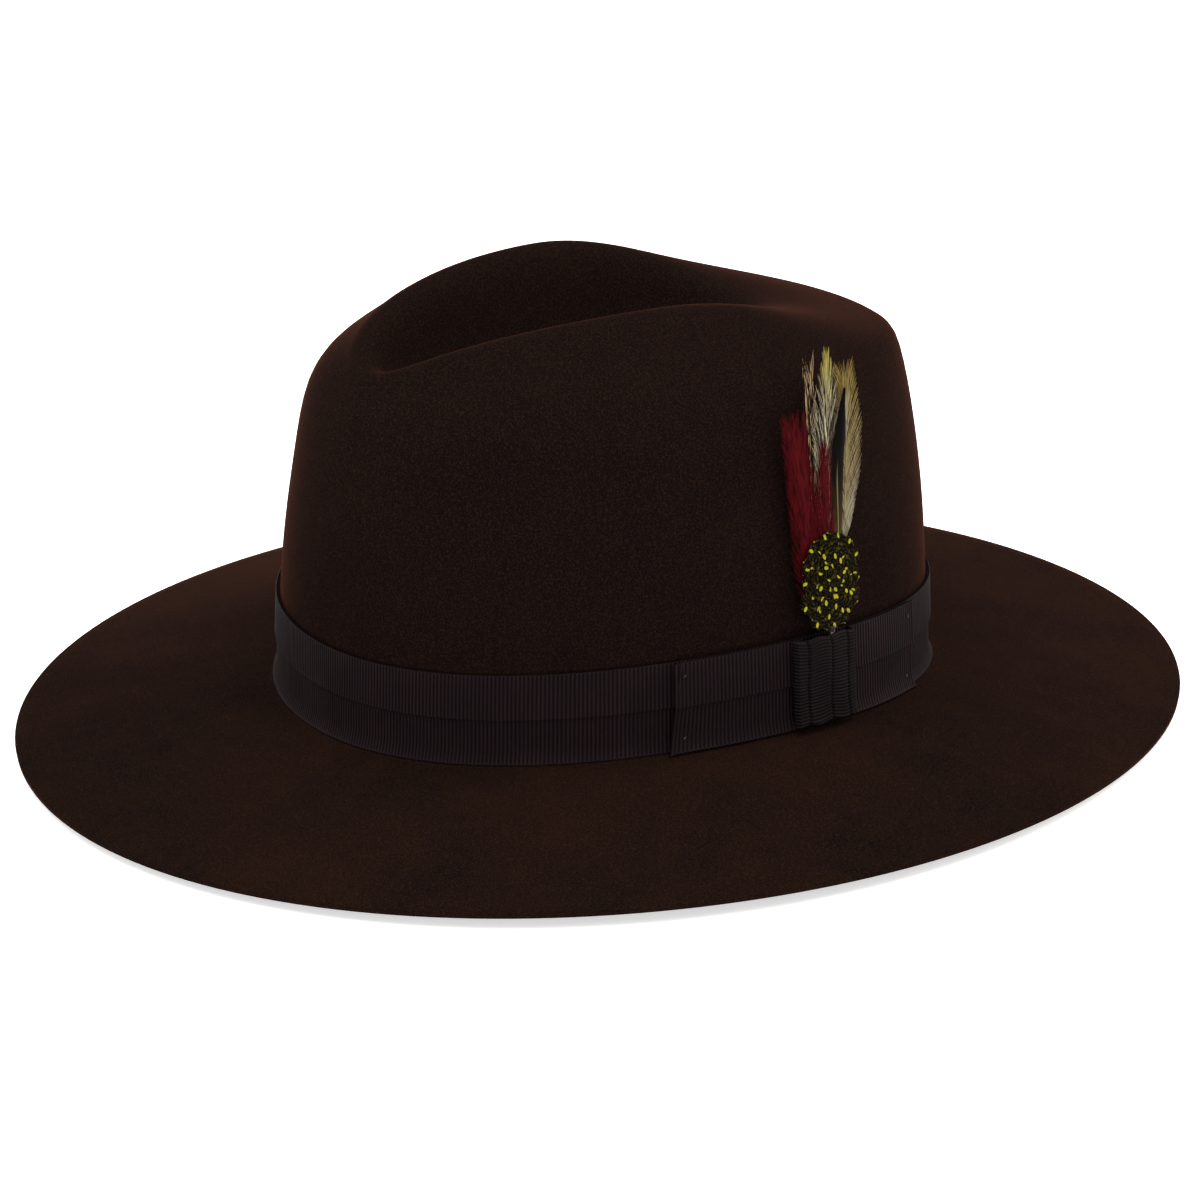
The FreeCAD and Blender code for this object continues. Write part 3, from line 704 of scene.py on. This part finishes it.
def make_bow_leaves():
    """Both leaves, each a full-height ribbon under a half-height tier."""
    def front_cut(share, level):
        return (1 - share) ** 3 * (1.1 - 1.9 * (1 - level))

    def front_curl(share, level):
        return 1.4 * math.exp(-share * 30)

    def rear_curl(share, level):
        return 0.6 * math.exp(-(1 - share) * 20)

    pieces = []
    for name, start, end, cut, curl in (
            ("bow_front", BOW_FRONT, KNOT_FRONT + 2, front_cut, front_curl),
            ("bow_rear", KNOT_REAR - 2, BOW_REAR, None, rear_curl)):
        lower = ribbon(name + "_lower", start, end, BAND_BOTTOM - 0.1, BAND_TOP + 0.1,
                       LEAF_OUT - 0.1, slant=cut, edge_lift=curl)
        upper = ribbon(name + "_upper", start, end, PLEAT_BOTTOM, BAND_TOP + 0.3,
                       BOW_OUT - 0.1, edge_lift=curl)
        pieces += [lower, upper]
    return pieces


def make_knot():
    """The wrap of the bow: ribs run level, over four panels with creases between."""
    creases = (0.19, 0.56, 0.85)
    across, bands = 96, 26
    along = bands * 8
    top, bottom = BAND_TOP + 0.8, BAND_BOTTOM + 1.2
    base = WIRE_OUT + 1.2

    def rib_phase(share, level):
        """The panel that a place is on, and how many ribs lie below it."""
        panel = sum(share > crease for crease in creases)
        phase = level * bands + 0.37 * panel + 0.25 * math.sin(share * 7 + panel)
        return panel, phase + 0.08 * math.sin(level * 14 + share * 5)

    def place(i, j):
        share, level = i / across, j / along
        panel, phase = rib_phase(share, level)
        wavy = 0.006 * math.sin(level * 9 + 1) + 0.004 * math.sin(level * 23)
        valley = sum(math.exp(-((share - crease - wavy) / 0.016) ** 2) for crease in creases)
        ridge = abs(math.sin(math.pi * phase)) ** 0.8
        out = base + 0.24 * ridge - 0.55 * min(valley, 1) + (0.0, 0.18, 0.08, 0.0)[panel]
        out += 0.12 * math.sin(share * 9 + level * 4)
        side = min(share, 1 - share)
        if i in (0, across):
            out -= 1.9
        elif side < 0.03:
            out -= 0.5
        cap = min(level, 1 - level) * (top - bottom)
        out -= 0.5 * max(0.0, 1 - cap / 0.8) ** 2
        picot = 0.13 * math.cos(TURN * phase) * (1 if share > 0.5 else -1)
        edge = max(0.0, 1 - side / 0.06)
        angle = WRAP_FRONT + (WRAP_REAR - WRAP_FRONT) * (share + wavy * 0.5) - picot * edge
        height = bottom + (top - bottom) * level + 0.3 * math.sin(share * 16 + 2) * (2 * level - 1)
        return CROWN.point(math.radians(angle), height, out)

    def uv(i, j):
        share, level = i / across, j / along
        return (rib_phase(share, level)[1] * RIB_PITCH, share * KNOT_CLOTH)

    knot = grid("knot_wrap", across, along, place, uv)
    thicken(knot, 0.5)
    shade(knot, 75)
    return knot


def make_tacks():
    """Small crossed thread knots at the ends of the leaves."""
    tacks = []
    for angle in (BOW_FRONT + 2, BOW_REAR - 2):
        for height, base in ((BAND_BOTTOM + 4, LEAF_OUT), (BAND_TOP - 4, BOW_OUT)):
            for lean in (-1, 1):
                middle = CROWN.point(math.radians(angle), height, base + 0.22)
                beside = CROWN.point(math.radians(angle + 0.35), height + 0.5 * lean, base + 0.05)
                arm = beside - middle

                def place(i, j, middle=middle, arm=arm):
                    share = i / 6 * 2 - 1
                    turn = TURN * j / 6
                    bow = Vector((arm.x * abs(share), arm.y * abs(share), 0)) * 0.2
                    across = Vector((0, 0, 1)).cross(arm).normalized()
                    ring = across * math.cos(turn) + Vector((0, 0, 1)) * math.sin(turn)
                    return middle + arm * share - bow + ring * 0.17 * (1 - share ** 4) ** 0.5

                tack = grid("tack", 6, 6, place)
                weld(tack, 0.004)
                tacks.append(tack)
    made = join(tacks, "tack_threads")
    shade(made, 60)
    return made


# ------------------------------------------------------------------ inside

def hoop(name, steps, section, uv_height=1.0):
    """A closed hoop round the crown; the section is a loop of (height, out)."""
    around = 240

    def place(i, j):
        height, out = section[j % steps]
        return CROWN.point(TURN * i / around, height, out)

    piece = grid(name, around, steps, place, lambda i, j: (GIRTH * i / around, j * uv_height))
    weld(piece)
    return piece


def make_sweatband():
    """Leather with a rolled lower edge, a welt above it and a pinked-smooth top."""
    low, top = SWEAT_BOTTOM, SWEAT_BOTTOM + SWEAT_HEIGHT
    inside = [(low + 0.2, SWEAT_IN - 0.1), (low + 1.4, SWEAT_IN - 0.45), (low + 2.6, SWEAT_IN - 0.1),
              (low + 3.4, SWEAT_IN + 0.12), (low + 4.2, SWEAT_IN), (low + 14, SWEAT_IN - 0.1),
              (low + 30, SWEAT_IN - 0.15), (top - 1.0, SWEAT_IN), (top - 0.2, SWEAT_IN + 0.25)]
    outside = [(top - 0.2, SWEAT_OUT - 0.2), (top - 2, SWEAT_OUT), (low + 20, SWEAT_OUT),
               (low + 0.2, SWEAT_OUT)]
    section = inside + outside
    band = hoop("sweatband_leather", len(section), section)
    shade(band, 50)
    return band


def make_stitches():
    """Lock stitches in the valley over the sweatband's rolled edge."""
    inner_girth = GIRTH * 0.95
    count = int(inner_girth / STITCH_PITCH)
    stitches = []

    for k in range(count):
        start = TURN * k / count

        def lay(i, j, start=start):
            share = i / 5
            turn = TURN * j / 5
            angle = start + TURN * share * STITCH_LENGTH / inner_girth
            radius = 0.24 * math.sin(math.pi * (0.08 + 0.84 * share)) ** 0.5
            return CROWN.point(angle, SWEAT_BOTTOM + STITCH_RISE + radius * math.sin(turn),
                               SWEAT_IN - 0.12 - radius * math.cos(turn))

        stitches.append(grid("stitch", 5, 5, lay))
    made = join(stitches, "sweatband_threads")
    weld(made, 0.004)
    shade(made, 60)
    return made


def make_inner_bow():
    """A small tied bow of satin ribbon at the back seam: two loops and a knot."""
    low = SWEAT_BOTTOM + 4.6
    middle = low + 3.0
    made = []
    for side in (-1, 1):
        def loop(i, j, side=side):
            share, level = i / 24, j / 6 * 2 - 1
            turn = TURN * share
            reach = LOOP_REACH * (1 - math.cos(turn)) / 2
            puff = 0.75 * math.sin(turn)
            width = (1.3 + 1.5 * math.sin(math.pi * min(reach / LOOP_REACH, 1) / 2)) * level
            angle = BACK_SEAM + side * (reach + 0.8) / CROWN_LENGTH
            return CROWN.point(angle, middle + width + 0.3 * math.sin(turn * 2),
                               SWEAT_IN - 1.4 - puff)
        made.append(grid("loop", 24, 6, loop))
    made.append(grid("tie", 12, 6, lambda i, j: CROWN.point(
        BACK_SEAM + 1.3 * math.sin(TURN * i / 12) / CROWN_LENGTH,
        middle + (j / 6 * 2 - 1) * 1.7,
        SWEAT_IN - 1.45 + 1.0 * math.cos(TURN * i / 12) * (1 - 0.3 * (j / 6 * 2 - 1) ** 2))))
    for piece in made:
        thicken(piece, 0.18, 0.0)
    bow = join(made, "inner_bow_ribbon")
    shade(bow, 60)
    return bow


def make_label():
    """The blank size ticket on the sweatband."""
    low = SWEAT_BOTTOM + LABEL_RISE

    def place(i, j):
        angle = math.radians(LABEL_START + (LABEL_END - LABEL_START) * i / 20)
        return CROWN.point(angle, low + LABEL_HEIGHT * j / 6, SWEAT_IN - 0.5 - 0.05 * math.sin(i))

    label = grid("label_ticket", 20, 6, place)
    thicken(label, 0.15, 1.0)
    shade(label, 30)
    return label


def make_lining():
    """Satin lining: a gathered side band and a smooth tip that follows the dent."""
    seam = min(wall(TURN * i / COLUMNS, 0.66).z - break_z(TURN * i / COLUMNS)
               for i in range(COLUMNS))
    around = 720

    def side_place(i, j):
        level = j / 8
        angle = TURN * i / around
        gather = 0.22 * math.sin(angle * 96 + 1.5 * math.sin(angle * 7)) * level
        return CROWN.point(angle, LINING_BOTTOM + (seam - LINING_BOTTOM) * level,
                           LINING_OUT - 0.35 - 0.25 * level ** 8 - abs(gather))

    side = grid("lining_side_satin", around, 8, side_place,
                lambda i, j: (GIRTH * i / around, j * 5.0))
    weld(side)
    thicken(side, 0.15, 0.0)
    shade(side, 60)

    cage = [[CROWN.at(TURN * i / COLUMNS, seam - 1.5)] + NET[i][SEAM_ROW:] for i in range(COLUMNS)]
    last = len(cage[0]) - 1

    def tip_place(i, j):
        here = cage[i % COLUMNS][j]
        if j == last:
            return here - Vector((0, 0, 3.2))
        along = cage[i % COLUMNS][min(j + 1, last)] - cage[i % COLUMNS][max(j - 1, 0)]
        round_it = cage[(i + 1) % COLUMNS][j] - cage[(i - 1) % COLUMNS][j]
        return here - round_it.cross(along).normalized() * 3.05

    tip = grid("lining_tip_satin", COLUMNS, last, tip_place)
    weld(tip)
    modify(tip, "SUBSURF", levels=2, render_levels=2)
    thicken(tip, 0.2)
    shade(tip, 60)
    return side, tip


# ------------------------------------------------------------------ feather mount

BAND_TOP_Z = CROWN.at(math.radians(KNOT_MIDDLE), BAND_TOP).z
OUT = CROWN.point(math.radians(KNOT_MIDDLE), BAND_TOP, 1) - CROWN.at(math.radians(KNOT_MIDDLE),
                                                                    BAND_TOP)
BACK = Vector((0, 0, 1)).cross(OUT)
WIRE_OUT = (WIRE - CROWN.at(math.radians(KNOT_MIDDLE), BAND_TOP)).dot(OUT)


def mount_point(side, height, out):
    """Side towards the back of the hat, height over the band, out from the wire."""
    point = BACK * side + OUT * (out - LEAN * max(height, 0))
    return Vector((WIRE.x, WIRE.y, BAND_TOP_Z + height)) + point


def layer(place):
    return 0.4 * (place - 3)


def along_spine(spine, share):
    """Side, height and half width at a share of a feather's length, smoothly."""
    place = min(max(share, 0), 1) * (len(spine) - 1)
    k = min(int(place), len(spine) - 2)
    f = place - k
    before, here, there, after = (spine[min(max(k + n, 0), len(spine) - 1)]
                                  for n in (-1, 0, 1, 2))
    return tuple(0.5 * (2 * b + (c - a) * f + (2 * a - 5 * b + 4 * c - d) * f * f
                        + (3 * b - a - 3 * c + d) * f ** 3)
                 for a, b, c, d in zip(before, here, there, after))


def barbs(draw, spine, out, count, width, sweep, clump=0, loose=0.1, fill=False, first=0.1,
          lift=0.3, pull=0.6):
    """Rows of separate barbs from a feather's quill to its outline.

    sweep is how far a barb rises for each mm that it spreads. Barbs clump by that many,
    loose is their scatter in mm, and fill scatters their ends over the whole width.
    """
    length = spine[-1][1] - spine[0][1]
    vanes = []
    for edge in (-1, 1):
        made = []
        for n in range(count + 1):
            share = first + (1 - first) * n / count
            if clump:
                middle = (n // clump + 0.5) * clump / count
                share += (first + (1 - first) * middle - share) * pull
            share += draw.gauss(0, loose) / length
            spread = draw.uniform(-0.15, 1) if fill else draw.uniform(0.88, 1.04)
            side, height, half = along_spine(spine, share)
            rise = sweep * (half + 2.0) * draw.uniform(0.85, 1.15)
            root = along_spine(spine, share - rise / length)
            tip_side = side + edge * half * spread + draw.gauss(0, loose) * 0.5
            tip_height = height + draw.gauss(0, loose)
            made.append((root, tip_side, tip_height, draw.uniform(-0.5, 0.5),
                         draw.uniform(0.7, 1.2), draw.gauss(0, loose) * 0.6))

        def place(i, j, edge=edge, made=made):
            root, tip_side, tip_height, away, thick, bend = made[j // 2]
            t = i / 7
            wide = width * thick * (1 - t) ** 0.5 * 0.5 + 0.02
            sign = 1 if j % 2 else -1
            side = root[0] + (tip_side - root[0]) * t ** 1.15 + bend * math.sin(math.pi * t)
            height = root[1] + (tip_height - root[1]) * t ** 0.92
            slope = sweep / (1 + sweep)
            return mount_point(side - edge * sign * wide * slope, height + sign * wide * (1 - slope),
                               out + away * lift + 0.35 * lift * math.sin(math.pi * t))

        def uv(i, j, edge=edge):
            return (0.5 + edge * 0.5 * i / 7, j // 2 / count)

        vanes.append(grid("barbs", 7, 2 * count + 1, place, uv, gaps=True))
    return vanes


def quill(spine, out, radius=0.4):
    def place(i, j):
        share = j / 24
        turn = TURN * i / 6
        thin = radius * (1 - share * 0.85)
        side, height, _ = along_spine(spine, share)
        return mount_point(side + thin * math.cos(turn), height,
                           out + 0.15 + thin * 0.6 * math.sin(turn))

    shaft = grid("shaft", 6, 24, place, lambda i, j: (0.5, j / 24))
    weld(shaft, 0.001)
    return shaft


def feather(name, pieces):
    piece = join(pieces, name)
    shade(piece, 60)
    return piece


BARRED = ((-0.5, 3.4, 0.5), (-0.8, 30, 1.2), (1.2, 54, 2.2), (2.6, 69, 3.8), (2.6, 84, 5.2))
CREAM = ((1.5, 3.4, 0.5), (9.0, 26, 2.8), (13.8, 46, 6.2), (16.6, 63, 6.4), (18.2, 79.5, 4.0))
GRIZZLY = ((0.0, 3.4, 0.5), (3.2, 30, 3.2), (6.0, 50, 4.8), (9.0, 66, 6.3), (11.4, 84.5, 1.0))
RED = ((-2.4, 3.4, 2.0), (-5.4, 18, 6.6), (-4.6, 38, 7.0), (-5.4, 55, 5.6), (-5.4, 69, 5.0))
RED_WISPS = ((-1.0, 3.4, 1.0), (1.2, 16, 5.2), (1.8, 30, 6.2), (3.4, 44, 5.4), (6.2, 59, 2.2))
BIOT = ((2.0, 3.4, 0.4), (6.9, 30, 1.7), (9.5, 48, 2.6), (13.0, 60, 2.0), (16.2, 71, 0.15))


def make_hackles():
    """The upright feathers, from the rearmost layer outwards."""
    draw = random.Random(11)
    barred = feather("barred_feather",
                     barbs(draw, BARRED, layer(1), 110, 0.42, 3.0, 4, 1.3, True, 0.35)
                     + [quill(BARRED, layer(1))])
    cream = feather("cream_feather",
                    barbs(draw, CREAM, layer(2), 136, 0.34, 1.7, 4, 0.08, first=0.3, pull=0.82)
                    + barbs(draw, CREAM, layer(2) + 0.1, 36, 0.34, 2.0, 4, 0.3, True, 0.84)
                    + [quill(CREAM, layer(2))])
    grizzly = feather("grizzly_feather",
                      barbs(draw, GRIZZLY, layer(3), 110, 0.36, 2.4, 5, 0.4)
                      + barbs(draw, GRIZZLY, layer(3) + 0.2, 84, 0.36, 3.4, 3, 0.7, True, 0.35)
                      + [quill(GRIZZLY, layer(3))])
    red = feather("red_feather",
                  barbs(draw, RED, layer(4), 420, 0.24, 3.0, 6, 0.6, True)
                  + barbs(draw, RED, layer(4) - 0.2, 190, 0.26, 2.4, 5, 0.5)
                  + barbs(draw, RED_WISPS, layer(4) + 0.4, 260, 0.24, 3.2, 4, 0.6, True, 0.15))
    return barred, cream, grizzly, red


def make_biot():
    """A stiff black lance-shaped feather, one folded blade with fine edge serration."""
    def place(i, j):
        share = j / 120
        t = i / 10 * 2 - 1
        side, height, half = along_spine(BIOT, share)
        half *= 1 + 0.05 * (j % 2)
        return mount_point(side + t * half, height + 0.8 * abs(t),
                           layer(5) + 0.45 - 0.5 * t * t)

    blade = grid("biot_feather", 10, 120, place, lambda i, j: (i / 10, j / 120))
    thicken(blade, 0.12, 0.0)
    shade(blade, 40)
    return blade


def make_pad():
    """Guinea pad: spotted feathers that radiate from a middle, the outer ones beneath."""
    draw = random.Random(5)
    count, made = 30, []
    for ring, number, shift in ((0, 13, 0.2), (1, 9, 0.7), (2, 5, 0.0)):
        for k in range(number):
            turn = TURN * (k + shift + draw.uniform(-0.12, 0.12)) / number
            way = Vector((math.sin(turn), math.cos(turn)))
            beside = Vector((way.y, -way.x))
            reach = 13.0 if way.y > 0 else 17.6
            rim = (abs(way.x / 12.4) ** 2.6 + abs(way.y / reach) ** 2.6) ** (-1 / 2.6)
            rim *= (1.0, 0.68, 0.36)[ring] * draw.uniform(0.95, 1.03)
            length = min(rim, (10.5, 8.0, 5.0)[ring])
            half = (5.4, 4.4, 3.2)[ring] * draw.uniform(0.9, 1.1)
            root = Vector((1.6 + 1.6 * way.y, 18.6)) + way * (rim - length)
            base = layer(6) + 0.2 + 0.45 * ring + 0.03 * (k % 3)
            for edge in (-1, 1):
                tilt = [draw.gauss(0, 0.06) for _ in range(count + 1)]

                def flat(i, j):
                    share, t = j // 2 / count, i / 7
                    spread = half * math.sin(math.pi * min(0.16 + 0.80 * share, 1)) ** 0.55
                    run = length * share * 0.84 + spread * 0.5 * t * t * (1 + tilt[j // 2])
                    wide = 0.24 * (1 - t) ** 0.4 + 0.03
                    return edge * spread * t, run + (wide if j % 2 else -wide)

                def place(i, j):
                    beside_by, run = flat(i, j)
                    where = root + way * run + beside * beside_by
                    share = run / length
                    dome = 0.7 * share - 0.9 * share * share - 0.02 * beside_by * beside_by
                    return mount_point(where.x, where.y, base + dome + 0.03 * (j % 2))

                made.append(grid("petal", 7, 2 * count + 1, place,
                                 lambda i, j: tuple(c * 0.1 for c in flat(i, j)), gaps=True))
    return feather("guinea_feathers", made)


def make_binding():
    """Thread wound round the wire under the feathers."""
    turns, radius = 9, 1.15

    def place(i, j):
        angle = TURN * i / 16
        level = j / (turns * 4)
        wound = radius - 0.15 * abs(math.cos(math.pi * level * turns))
        if j in (0, turns * 4):
            wound = 0.66
        return Vector((WIRE.x, WIRE.y, BAND_TOP_Z + 1.2 + 2.0 * level)) + Vector(
            (wound * math.cos(angle), wound * math.sin(angle), 0))

    binding = grid("binding_thread", 16, turns * 4, place)
    weld(binding, 0.001)
    shade(binding, 60)
    return binding


# ------------------------------------------------------------------ build

def settle(piece, node, body, material):
    """A finished piece takes a node's place, slot, body and finish."""
    piece.data.materials.clear()
    piece.data.materials.append(material)
    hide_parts(node)
    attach(piece, body)


def paint_node(name, material):
    """A node whose shape is right keeps it and gets a better finish."""
    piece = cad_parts[name]
    piece.data.materials.clear()
    piece.data.materials.append(material)


settle(make_felt(), "felt_body", "hat", felt_finish())

grosgrain = ribbon_finish("ribbon_finish", 0.9)
# The knot's copy of the grosgrain has a darker rib colour: painted shade on the same ribbon.
knot_shaded_grosgrain = ribbon_finish("knot_shaded_finish", 0.56)
thread = thread_finish()
band, tier = make_hatband()
front_lower, front_upper, rear_lower, rear_upper = make_bow_leaves()
knot = make_knot()
for piece, node in ((band, "hatband"), (tier, "hatband_pleat"), (front_lower, "bow_front_leaf"),
                    (front_upper, "bow_front_pleat"), (rear_lower, "bow_rear_leaf"),
                    (rear_upper, "bow_rear_pleat")):
    settle(piece, node, "hat", grosgrain)
settle(knot, "bow_knot", "hat", knot_shaded_grosgrain)
settle(make_tacks(), "tack_stitches", "hat", thread)

leather = leather_finish()
satin = satin_finish()
settle(make_sweatband(), "sweatband", "hat", leather)
settle(make_stitches(), "sweatband_stitches", "hat", thread)
settle(make_inner_bow(), "sweatband_bow", "hat", satin)
settle(make_label(), "size_label", "hat", paper_finish())
lining_side, lining_tip = make_lining()
settle(lining_side, "lining_side", "hat", satin)
settle(lining_tip, "lining_tip", "hat", satin)
paint_node("sweatband_reed", plastic_finish())
paint_node("reed_tape", tape_finish())

barred, cream, grizzly, red = make_hackles()
settle(barred, "barred_fragment", "feather_mount", barred_finish())
settle(cream, "cream_hackle", "feather_mount", cream_finish())
settle(grizzly, "grizzly_hackle", "feather_mount", grizzly_finish())
settle(red, "red_hackle", "feather_mount", red_finish())
settle(make_biot(), "black_biot", "feather_mount", biot_finish())
settle(make_pad(), "guinea_pad", "feather_mount", guinea_finish())
settle(make_binding(), "stem_binding", "feather_mount", thread)
paint_node("mount_stem", wire_finish())
paint_node("mount_card", card_finish())


def cut(piece, width, length, held, *under, area=None):
    """Works out a cloth piece's cut sizes in metres and keeps none of them."""
    width * MM
    length * MM
    area and area * MM * MM


FRONT_LEAF = GIRTH * (KNOT_FRONT + 2 - BOW_FRONT) / 360
REAR_LEAF = GIRTH * (BOW_REAR - KNOT_REAR + 2) / 360
cut(band, BAND_HEIGHT, GIRTH, "stretched", "felt_body")
cut(tier, PLEAT_HEIGHT, GIRTH, "stretched", "hatband")
cut(front_lower, BAND_HEIGHT, FRONT_LEAF, "laid", "hatband", "hatband_pleat")
cut(front_upper, PLEAT_HEIGHT, FRONT_LEAF, "laid", "bow_front_leaf")
cut(rear_lower, BAND_HEIGHT, REAR_LEAF, "laid", "hatband", "hatband_pleat")
cut(rear_upper, PLEAT_HEIGHT, REAR_LEAF, "laid", "bow_rear_leaf")
cut(knot, KNOT_CLOTH, BAND_HEIGHT, "folded", "bow_front_pleat", "bow_rear_pleat")
cut(lining_side, 46, GIRTH * 0.94, "gathered", "felt_body")
cut(lining_tip, 190, 240, "stretched", "felt_body", area=38500)


# ------------------------------------------------------------------ floor, light, camera

def make_floor():
    rest_selection()
    bpy.ops.mesh.primitive_plane_add(size=12)
    floor = bpy.context.object
    floor.name = "floor"
    floor.data.materials.append(floor_finish())


def make_light(name, azimuth, elevation, distance, size, power, colour=(1, 1, 1)):
    """A soft panel that faces the crown."""
    a, e = math.radians(azimuth), math.radians(elevation)
    way = Vector((math.sin(a) * math.cos(e), -math.cos(a) * math.cos(e), math.sin(e)))
    data = bpy.data.lights.new(name, "AREA")
    data.shape = "RECTANGLE"
    data.size = data.size_y = size
    data.energy = power
    data.color = colour
    lamp = bpy.data.objects.new(name, data)
    lamp.location = way * distance + Vector((0, 0, 0.06))
    lamp.rotation_mode = "QUATERNION"
    lamp.rotation_quaternion = (-way).to_track_quat("-Z", "Y")
    bpy.context.scene.collection.objects.link(lamp)


def make_world():
    world = bpy.data.worlds.new("studio")
    world.use_nodes = True
    world.node_tree.nodes["Background"].inputs[0].default_value = (1, 1, 1, 1)
    world.node_tree.nodes["Background"].inputs[1].default_value = 0.9
    bpy.context.scene.world = world
    bpy.context.scene.view_settings.view_transform = "Standard"


def make_camera():
    azimuth, elevation = math.radians(56.84), math.radians(21.46)
    right = Vector((math.cos(azimuth), math.sin(azimuth), 0))
    away = Vector((math.sin(azimuth) * math.cos(elevation),
                   -math.cos(azimuth) * math.cos(elevation), math.sin(elevation)))
    target = right * (-1.56 * MM) + Vector((0, 0, 34.7 * MM))
    data = bpy.data.cameras.new("camera")
    data.sensor_width = 36
    data.lens = 172.8
    camera = bpy.data.objects.new("camera", data)
    camera.location = target + away * 1.793
    camera.rotation_mode = "QUATERNION"
    camera.rotation_quaternion = (-away).to_track_quat("-Z", "Y")
    bpy.context.scene.collection.objects.link(camera)
    bpy.context.scene.camera = camera


make_floor()
make_world()
make_light("overhead", 40, 78, 2.2, 2.4, 52)
make_light("left_rim", -70, 28, 1.8, 1.0, 8, (1, 0.8, 0.62))
make_light("right_rim", 165, 30, 1.8, 1.0, 13, (1, 0.84, 0.68))
make_camera()
